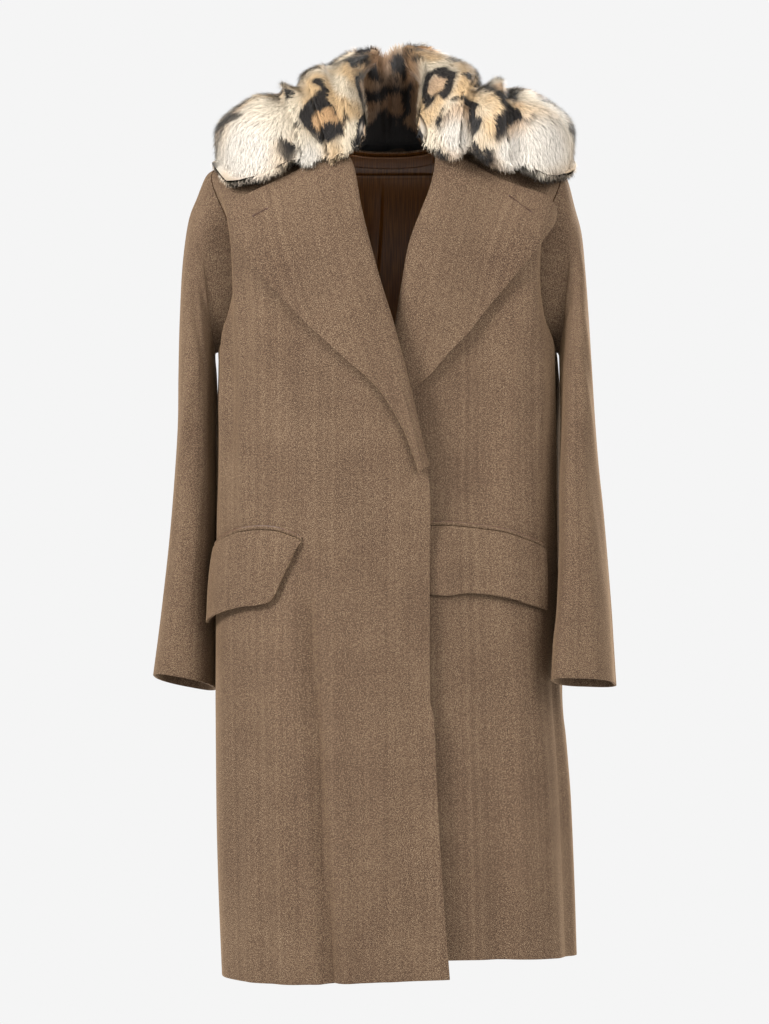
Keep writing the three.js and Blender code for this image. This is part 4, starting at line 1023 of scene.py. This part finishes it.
def part(piece, name, lowest, highest):
    # the stretch of the skin between two turns, with all that is written on it
    copy = piece.copy()
    copy.data = piece.data.copy()
    copy.name = copy.data.name = name
    bpy.context.scene.collection.objects.link(copy)
    work = bmesh.new()
    work.from_mesh(copy.data)
    layer = work.verts.layers.float["around"]
    outside = [
        face for face in work.faces
        if not lowest <= sum(corner[layer] for corner in face.verts) / len(face.verts) < highest]
    bmesh.ops.delete(work, geom=outside, context="FACES")
    work.to_mesh(copy.data)
    work.free()
    return copy


def linear(colour):
    # a colour as it shows on a screen, given in hex, to the values that light is worked out in
    channels = [int(colour[i:i + 2], 16) / 255 for i in (1, 3, 5)]
    return tuple(c / 12.92 if c <= 0.04045 else ((c + 0.055) / 1.055) ** 2.4 for c in channels) + (1.0,)


def newMaterial(name, **values):
    material = bpy.data.materials.new(name)
    material.use_nodes = True
    tree = material.node_tree
    shader = next(n for n in tree.nodes if n.type == "BSDF_PRINCIPLED")
    for key, value in values.items():
        shader.inputs[key.replace("_", " ")].default_value = value
    return material, tree, shader


wool = {
    # the weave's own 1 mm pitch can't show at this size, so it is drawn coarser
    "grain": 0.9, "fibre": 0.8, "columns": 9.0, "twill": 2.8,
    "twillTone": 0.022, "speckle": 0.13, "stripeTone": 0.09, "cloudTone": 0.10, "twillHeight": 0.3,
    "shades": [(0.28, "#261a11"), (0.40, "#39291d"), (0.50, "#4b392a"), (0.60, "#5e4b39"), (0.72, "#796853")],
}


def woolMaterial():
    # brushed coating wool in mixed browns: a soft herringbone, fibres that catch the light at grazing angles
    material, tree, shader = newMaterial(
        "brushed brown heather wool", Roughness=0.88, Specular_IOR_Level=0.22,
        Sheen_Weight=0.32, Sheen_Roughness=0.45, Sheen_Tint=linear("#d0ab80"),
    )
    cloth = addNode(tree, "ShaderNodeUVMap", {"uv_map": "cloth"}).outputs[0]
    across, up, _ = addNode(tree, "ShaderNodeSeparateXYZ", None, {0: cloth}).outputs
    grain = addNode(tree, "ShaderNodeTexNoise", {"noise_dimensions": "2D"}, {
        "Vector": cloth, "Scale": wool["grain"], "Detail": 3.0, "Roughness": 0.62}).outputs["Fac"]
    fibre = addNode(tree, "ShaderNodeTexVoronoi", {"voronoi_dimensions": "2D"}, {
        "Vector": cloth, "Scale": wool["fibre"]}).outputs["Color"]
    fibre = addNode(tree, "ShaderNodeSeparateXYZ", None, {0: fibre}).outputs[0]
    stripes = addNode(tree, "ShaderNodeTexNoise", {"noise_dimensions": "1D"}, {
        "W": across, "Scale": 0.14, "Detail": 2.0}).outputs["Fac"]
    cloudy = addNode(tree, "ShaderNodeTexNoise", {"noise_dimensions": "2D"}, {
        "Vector": cloth, "Scale": 0.012, "Detail": 2.0}).outputs["Fac"]
    # the slant of the twill turns over in every column, as herringbone does
    wave = across
    for operation, value in (
        ("PINGPONG", wool["columns"]), ("ADD", up), ("MULTIPLY", 2 * math.pi / wool["twill"]), ("SINE", 0.0),
    ):
        wave = addNode(tree, "ShaderNodeMath", {"operation": operation}, {0: wave, 1: value}).outputs[0]
    middle = (wool["speckle"] + wool["stripeTone"] + wool["cloudTone"]) / 2
    mixed = addNode(tree, "ShaderNodeMath", {"operation": "SUBTRACT"}, {0: grain, 1: middle}).outputs[0]
    for pattern, amount in (
        (wave, "twillTone"), (fibre, "speckle"), (stripes, "stripeTone"), (cloudy, "cloudTone"),
    ):
        mixed = addNode(tree, "ShaderNodeMath", {"operation": "MULTIPLY_ADD"}, {
            0: pattern, 1: wool[amount], 2: mixed}).outputs[0]
    colour = addNode(tree, "ShaderNodeValToRGB", {"stops": wool["shades"]}, {"Fac": mixed}).outputs["Color"]
    tree.links.new(colour, shader.inputs["Base Color"])
    height = addNode(tree, "ShaderNodeMath", {"operation": "MULTIPLY_ADD"}, {
        0: wave, 1: wool["twillHeight"], 2: grain}).outputs[0]
    bump = addNode(tree, "ShaderNodeBump", None, {
        "Strength": 0.3, "Distance": 0.4 * millimetre, "Height": height})
    tree.links.new(bump.outputs[0], shader.inputs["Normal"])
    return material


def liningMaterial():
    # dark brown satin lining, glossy in a soft sheen across its fine warp
    material, tree, shader = newMaterial("dark brown satin lining", Roughness=0.42, Specular_IOR_Level=0.4)
    cloth = addNode(tree, "ShaderNodeUVMap", {"uv_map": "cloth"}).outputs[0]
    stretched = addNode(tree, "ShaderNodeMapping", None, {
        "Vector": cloth, "Scale": (0.9, 0.03, 1)}).outputs[0]
    warp = addNode(tree, "ShaderNodeTexNoise", {"noise_dimensions": "2D"}, {
        "Vector": stretched, "Scale": 1.0, "Detail": 2.0}).outputs["Fac"]
    colour = addNode(tree, "ShaderNodeValToRGB", {
        "stops": [(0.3, "#58320f"), (0.5, "#6c4116"), (0.7, "#805221")]}, {"Fac": warp}).outputs["Color"]
    tree.links.new(colour, shader.inputs["Base Color"])
    bump = addNode(tree, "ShaderNodeBump", None, {
        "Strength": 0.3, "Distance": 0.1 * millimetre, "Height": warp})
    tree.links.new(bump.outputs[0], shader.inputs["Normal"])
    return material


def threadAndWeltShadowMaterial():
    # reddish-brown silk twist, a little glossy along its ply; the buttonholes are sewn in it, and it also
    # lies along the welts' upper edges as a painted shadow line
    material, tree, shader = newMaterial("reddish-brown silk twist", Roughness=0.5, Specular_IOR_Level=0.45)
    place = addNode(tree, "ShaderNodeTexCoord").outputs["Object"]
    ply = addNode(tree, "ShaderNodeTexNoise", {"noise_dimensions": "3D"}, {
        "Vector": place, "Scale": 900.0}).outputs["Fac"]
    colour = addNode(tree, "ShaderNodeValToRGB", {
        "stops": [(0.35, "#2c1a10"), (0.65, "#4f2f1c")]}, {"Fac": ply}).outputs["Color"]
    tree.links.new(colour, shader.inputs["Base Color"])
    return material


pelt = {
    "rosette": 52.0, "ring": 0.43, "ringWidth": 0.15, "warp": 12.0,
    # brown is laid only on the inner wall round the neck, as painted shade
    "ivory": "#d2b083", "tan": "#b58557", "white": "#dcd3c6", "brown": "#6b4a30", "dark": "#120b09",
    "cream": "#d8c8ae",
}


def peltColour(tree, place, pale, deep):
    # an ordinary spotted coat: broken dark rings round tan centres on cream
    push, whole, warm = (
        addNode(tree, "ShaderNodeTexNoise", {"noise_dimensions": "3D"}, {
            "Vector": place, "Scale": scale, "Detail": 1.5}).outputs
        for scale in (0.045, 0.032, 0.018))
    warp = pelt["warp"]
    push = addNode(tree, "ShaderNodeVectorMath", {"operation": "MULTIPLY_ADD"}, {
        0: push["Color"], 1: (2 * warp,) * 3, 2: (-warp,) * 3}).outputs[0]
    warped = addNode(tree, "ShaderNodeVectorMath", {"operation": "ADD"}, {0: place, 1: push}).outputs[0]
    far = addNode(tree, "ShaderNodeTexVoronoi", {"voronoi_dimensions": "3D"}, {
        "Vector": warped, "Scale": 1 / pelt["rosette"], "Randomness": 0.8}).outputs["Distance"]
    offRing = far
    for operation, value in (("SUBTRACT", pelt["ring"]), ("ABSOLUTE", 0.0)):
        offRing = addNode(tree, "ShaderNodeMath", {"operation": operation}, {0: offRing, 1: value}).outputs[0]
    ring, broken, spotted, centre, ivory = (
        addNode(tree, "ShaderNodeMapRange", {"interpolation_type": "SMOOTHSTEP"}, {
            "Value": value, "From Min": start, "From Max": end, "To Min": first, "To Max": last}).outputs[0]
        for value, start, end, first, last in (
            (offRing, pelt["ringWidth"] * 0.7, pelt["ringWidth"], 1.0, 0.0),
            (whole["Fac"], 0.42, 0.46, 0.0, 1.0),
            (pale, 0.3, 0.8, 1.0, 0.0),
            (far, pelt["ring"] - 0.16, pelt["ring"] + 0.06, 0.6, 0.0),
            (warm["Fac"], 0.42, 0.62, 0.0, 1.0),
        ))
    # painted shade: the inner wall round the neck is mixed towards brown
    inner = addNode(tree, "ShaderNodeMath", {"operation": "MULTIPLY"}, {0: deep, 1: 0.85}).outputs[0]
    dark = ring
    for share in (broken, spotted):
        dark = addNode(tree, "ShaderNodeMath", {"operation": "MULTIPLY"}, {0: dark, 1: share}).outputs[0]
    colour = linear(pelt["cream"])
    for share, name in ((ivory, "ivory"), (centre, "tan"), (pale, "white"), (inner, "brown"), (dark, "dark")):
        colour = addNode(tree, "ShaderNodeMix", {"data_type": "RGBA"}, {
            0: share, 6: colour, 7: linear(pelt[name])}).outputs[2]
    return colour


def furMaterial():
    # soft dense fur: pale tips, each strand darkened towards its root as painted shade within the pile, light
    # passing round each strand
    material, tree, shader = newMaterial(
        "spotted cream fur", Roughness=0.6, Specular_IOR_Level=0.3,
        Sheen_Weight=0.25, Sheen_Tint=linear("#fff3e0"))
    place, pale, deep, lie, strandShare, own = (
        addNode(tree, "ShaderNodeAttribute", {"attribute_name": name}).outputs
        for name in ("place", "pale", "deep", "lie", "strandShare", "shade"))
    colour = peltColour(tree, place["Vector"], pale["Fac"], deep["Fac"])
    tone = 1.0
    # painted shade: strandShare darkens each strand to 0.72 at its root; the strand's own random tone is real
    for value, low, high in ((strandShare["Fac"], 0.72, 1.12), (own["Fac"], 0.84, 1.1)):
        shade = addNode(tree, "ShaderNodeMapRange", None, {
            "Value": value, "To Min": low, "To Max": high}).outputs[0]
        tone = addNode(tree, "ShaderNodeMath", {"operation": "MULTIPLY"}, {0: shade, 1: tone}).outputs[0]
    shaded = addNode(tree, "ShaderNodeVectorMath", {"operation": "SCALE"}, {
        0: colour, "Scale": tone}).outputs[0]
    tree.links.new(shaded, shader.inputs["Base Color"])
    # strands take most of the light as the lobe under them does, so that the lobes read round
    flat = addNode(tree, "ShaderNodeNewGeometry").outputs["Normal"]
    bent = addNode(tree, "ShaderNodeMix", {"data_type": "VECTOR"}, {
        0: 0.72, 4: flat, 5: lie["Vector"]}).outputs[1]
    bent = addNode(tree, "ShaderNodeVectorMath", {"operation": "NORMALIZE"}, {0: bent}).outputs[0]
    tree.links.new(bent, shader.inputs["Normal"])
    return material


def skinMaterial():
    # the skin under the hair, in the pelt's colours darkened as painted shade under the hair, and darkest as
    # painted shadow where no hair covers it
    material, tree, shader = newMaterial("underfur", Roughness=0.9)
    metres = addNode(tree, "ShaderNodeTexCoord").outputs["Object"]
    place = addNode(tree, "ShaderNodeVectorMath", {"operation": "SCALE"}, {
        0: metres, "Scale": 1000.0}).outputs[0]
    pale, deep, covered = (
        addNode(tree, "ShaderNodeAttribute", {"attribute_name": name}).outputs["Fac"]
        for name in ("pale", "deep", "furry"))
    colour = peltColour(tree, place, pale, deep)
    # painted shade: the colour is scaled to 0.55 under full hair and down to 0.1 where the skin is bare
    tone = addNode(tree, "ShaderNodeMapRange", None, {
        "Value": covered, "To Min": 0.1, "To Max": 0.55}).outputs[0]
    shaded = addNode(tree, "ShaderNodeVectorMath", {"operation": "SCALE"}, {
        0: colour, "Scale": tone}).outputs[0]
    tree.links.new(shaded, shader.inputs["Base Color"])
    return material


woolFinish, liningFinish, threadAndWeltShadowFinish, furFinish, skinFinish = (
    woolMaterial(), liningMaterial(), threadAndWeltShadowMaterial(), furMaterial(), skinMaterial())
clothPieces = {
    "front_right": frontRight, "front_left": frontLeft, "back": backPanel,
    "sleeve_front_right": sleeveFrontRight, "sleeve_back_right": sleeveBackRight,
    "sleeve_front_left": sleeveFrontLeft, "sleeve_back_left": sleeveBackLeft,
    "lapel_right": lapelRight, "lapel_left": lapelLeft, "flap_right": flapRight, "flap_left": flapLeft,
    "welt_right": weltRight, "welt_left": weltLeft, "neck_facing": neckFacing, "back_lining": liningPiece,
}
for node, piece in clothPieces.items():
    isLining = node in ("back_lining", "neck_facing")
    piece.data.materials.append(liningFinish if isLining else woolFinish)
    # a welt's second slot is the dark thread finish, laid on its upper row as a painted shadow line
    piece.data.materials.append(threadAndWeltShadowFinish if node.startswith("welt") else liningFinish)
print("finishes given")

skin = collarMesh()
skin.data.materials.append(skinFinish)
strand = strandMesh()
tree = strandTree()
area = sum(f.area for f in skin.data.polygons)
furParts = []
for i in range(strands["parts"]):
    turns = np.linspace(-159, 159, strands["parts"] + 1)
    stretch = part(skin, f"fur{i + 1}", turns[i], turns[i + 1])
    furParts.append(growWith(tree, stretch, {
        "Strand": strand, "Count": (strands["count"]) / area, "Lift": strands["lift"],
        "Clump": strands["clump"], "Clump size": 1000 / strands["clumpSize"], "Stray": strands["stray"],
        "Seed": strands["seed"] + i, "Fur": furFinish,
    }))
bpy.data.objects.remove(strand)
print("fur grown:", [len(p.data.polygons) for p in furParts])


buttonhole = {
    "stitches": 64, "thread": 0.3, "bar": 1.2, "eye": 0.9,
    "eyePlace": (-4.4, -3810, -452.5), "plane": -60,
    "right": [(-169, -82.5), (-150, -72.5)], "left": [(151, -57), (180, -78)],
}


def ontoPiece(piece, x, z, lift):
    # the place on a piece's outer face that lies behind x and z, as the photograph's camera sees them
    eye = Vector(buttonhole["eyePlace"])
    way = (Vector((x, buttonhole["plane"], z)) - eye).normalized()
    hit, place, normal, _ = piece.ray_cast(eye * millimetre, way)
    if not hit:
        raise ValueError(f"nothing of {piece.name} at {x}, {z}")
    return np.array(place + normal * lift * millimetre) / millimetre, np.array(normal)


def buttonholeOutline(piece, ends):
    # a narrow loop round the slit with a rounder eye at its outer end
    (x0, z0), (x1, z1) = ends
    length = math.hypot(x1 - x0, z1 - z0)
    ways = np.linspace(0, 2 * math.pi, buttonhole["stitches"], endpoint=False)
    along = (0.5 - 0.5 * np.cos(ways)) * length
    halfWidth = 0.55 + buttonhole["eye"] * 0.5 * np.exp(-((along / 3.2) ** 2))
    aside = np.sin(ways) / np.maximum(np.abs(np.sin(ways)) ** 0.55, 1e-6) * halfWidth
    dx, dz = (x1 - x0) / length, (z1 - z0) / length
    points, outward, facing = [], [], []
    for a, s in zip(along, aside):
        place, normal = ontoPiece(piece, x0 + dx * a - dz * s, z0 + dz * a + dx * s, 0.25)
        slit = np.clip(a, 1.2, length - 1.2)
        middle, _ = ontoPiece(piece, x0 + dx * slit, z0 + dz * slit, 0.25)
        points.append(place)
        outward.append(unit(place - middle))
        facing.append(normal)
    return points, outward, facing


def stitchTree():
    tree = newTree("stitches", [("Bar", "NodeSocketObject"), ("Thread", "NodeSocketMaterial")])
    given = addNode(tree, "NodeGroupInput").outputs
    outward, facing = (
        addNode(tree, "GeometryNodeInputNamedAttribute", {"data_type": "FLOAT_VECTOR"}, {
            "Name": name}).outputs[0]
        for name in ("outward", "facing"))
    bars = addNode(tree, "GeometryNodeObjectInfo", None, {"Object": given["Bar"]}).outputs["Geometry"]
    turned = addNode(tree, "FunctionNodeAlignRotationToVector", {"axis": "X"}, {"Vector": outward})
    settled = addNode(tree, "FunctionNodeAlignRotationToVector", {"axis": "Z", "pivot_axis": "X"}, {
        "Rotation": turned.outputs[0], "Vector": facing})
    size = addNode(tree, "FunctionNodeRandomValue", {"data_type": "FLOAT"}, {
        2: 0.88, 3: 1.12, "Seed": 4}).outputs[1]
    sewn = addNode(tree, "GeometryNodeInstanceOnPoints", None, {
        "Points": given["Geometry"], "Instance": bars, "Rotation": settled.outputs[0], "Scale": size})
    real = addNode(tree, "GeometryNodeRealizeInstances", None, {"Geometry": sewn.outputs[0]})
    dressed = addNode(tree, "GeometryNodeSetMaterial", None, {
        "Geometry": real.outputs[0], "Material": given["Thread"]})
    addNode(tree, "NodeGroupOutput", None, {"Geometry": dressed.outputs[0]})
    return tree


def threadBar():
    # one stitch: a short rounded bar of thread, lying along x and bowed over the cloth
    rings = []
    turns = np.linspace(0, 2 * math.pi, 6, endpoint=False)
    for x, high, thick in ((-0.5, -0.5, 0.6), (-0.3, 0.15, 1.0), (0.3, 0.15, 1.0), (0.5, -0.5, 0.6)):
        radius = buttonhole["thread"] * thick
        rise = buttonhole["thread"] * high
        rings.append(np.stack([
            np.full(6, x * buttonhole["bar"]), radius * np.cos(turns), rise + radius * np.sin(turns)], -1))
    index = np.arange(24).reshape(4, 6)
    following = np.roll(index, -1, axis=1)
    sides = np.stack([index[:-1], following[:-1], following[1:], index[1:]], -1).reshape(-1, 4)
    faces = [tuple(f[::-1]) for f in sides] + [tuple(index[0]), tuple(index[-1][::-1])]
    return makeMesh("threadBar", np.concatenate(rings), faces)


def sewButtonhole(name, piece, ends, finish):
    points, outward, facing = buttonholeOutline(piece, ends)
    loop = makeMesh(name, points, [])
    writeValues(loop, "outward", outward)
    writeValues(loop, "facing", facing)
    return growWith(stitches, loop, {"Bar": bar, "Thread": finish})


bar, stitches = threadBar(), stitchTree()
buttonholeRight = sewButtonhole("buttonholeRight", lapelRight, buttonhole["right"], threadAndWeltShadowFinish)
buttonholeLeft = sewButtonhole("buttonholeLeft", lapelLeft, buttonhole["left"], threadAndWeltShadowFinish)
bpy.data.objects.remove(bar)
print("buttonholes sewn")

# The cloth that each piece shows: its cut's width and length in metres, and its flat area
cuts = {
    "front_right": (0.39, 1.06, 0.338), "front_left": (0.35, 1.04, 0.294), "back": (0.62, 1.12, 0.588),
    "sleeve_front_right": (0.142, 0.67, 0.069), "sleeve_back_right": (0.205, 0.70, 0.107),
    "sleeve_front_left": (0.142, 0.67, 0.068), "sleeve_back_left": (0.205, 0.70, 0.102),
    "lapel_right": (0.185, 0.42, 0.046), "lapel_left": (0.185, 0.39, 0.042),
    "flap_right": (0.157, 0.104, 0.0145), "flap_left": (0.156, 0.09, 0.0132),
    "welt_right": (0.153, 0.01, 0.0008), "welt_left": (0.156, 0.01, 0.0008),
    "neck_facing": (0.122, 0.024, 0.0028), "back_lining": (0.258, 0.314, 0.081),
}
for node, piece in clothPieces.items():
    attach(piece, "root")
    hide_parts(node)
for piece in [skin, *furParts, buttonholeRight, buttonholeLeft]:
    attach(piece, "root")
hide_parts("fur_collar")
for node, piece in clothPieces.items():
    width, length, area = cuts[node]


shot = {
    "place": (-0.0044, -3.81, -0.4525), "lens": 105.5,
    "backdrop": "#f5f5f5", "floorHeight": -3.0, "floorRadius": 10,
}
camera = bpy.data.objects.new("camera", bpy.data.cameras.new("camera"))
camera.data.lens = shot["lens"]
camera.data.sensor_width = 36
camera.data.clip_end = 200
camera.location = shot["place"]
camera.rotation_euler = (math.pi / 2, 0, 0)
bpy.context.scene.collection.objects.link(camera)
bpy.context.scene.camera = camera

turns = np.linspace(0, 2 * math.pi, 96, endpoint=False)
rim = np.stack([np.cos(turns), np.sin(turns), 0 * turns], -1) * shot["floorRadius"] * 1000
rim[:, 2] = shot["floorHeight"] * 1000
floor = makeMesh("floor", rim, [tuple(range(96))], smooth=False)
floorFinish, _, _ = newMaterial(
    "pale studio floor", Roughness=0.95, Specular_IOR_Level=0.0, Base_Color=linear("#f2f2f2"))
floor.data.materials.append(floorFinish)

world = bpy.data.worlds.new("studio")
bpy.context.scene.world = world
world.use_nodes = True
backdrop = world.node_tree.nodes["Background"]
backdrop.inputs["Color"].default_value = linear(shot["backdrop"])
backdrop.inputs["Strength"].default_value = 1.0
bpy.context.scene.view_settings.view_transform = "Standard"
bpy.context.scene.view_settings.look = "None"

lamps = {
    # place, what it points at, size in metres, watts
    "key": ((-3.0, -2.3, 1.8), (0, 0, -0.35), 1.4, 330),
    "fill": ((2.6, -3.0, 1.4), (0, 0, -0.2), 2.4, 190),
    "back": ((1.6, 3.4, 2.4), (0, 0, -0.5), 2.0, 300),
}
for name, (place, target, size, watts) in lamps.items():
    lamp = bpy.data.objects.new(name, bpy.data.lights.new(name, "AREA"))
    lamp.data.shape = "DISK"
    lamp.data.size = size
    lamp.data.energy = watts
    lamp.location = place
    lamp.rotation_euler = (Vector(target) - Vector(place)).to_track_quat("-Z", "Y").to_euler()
    bpy.context.scene.collection.objects.link(lamp)
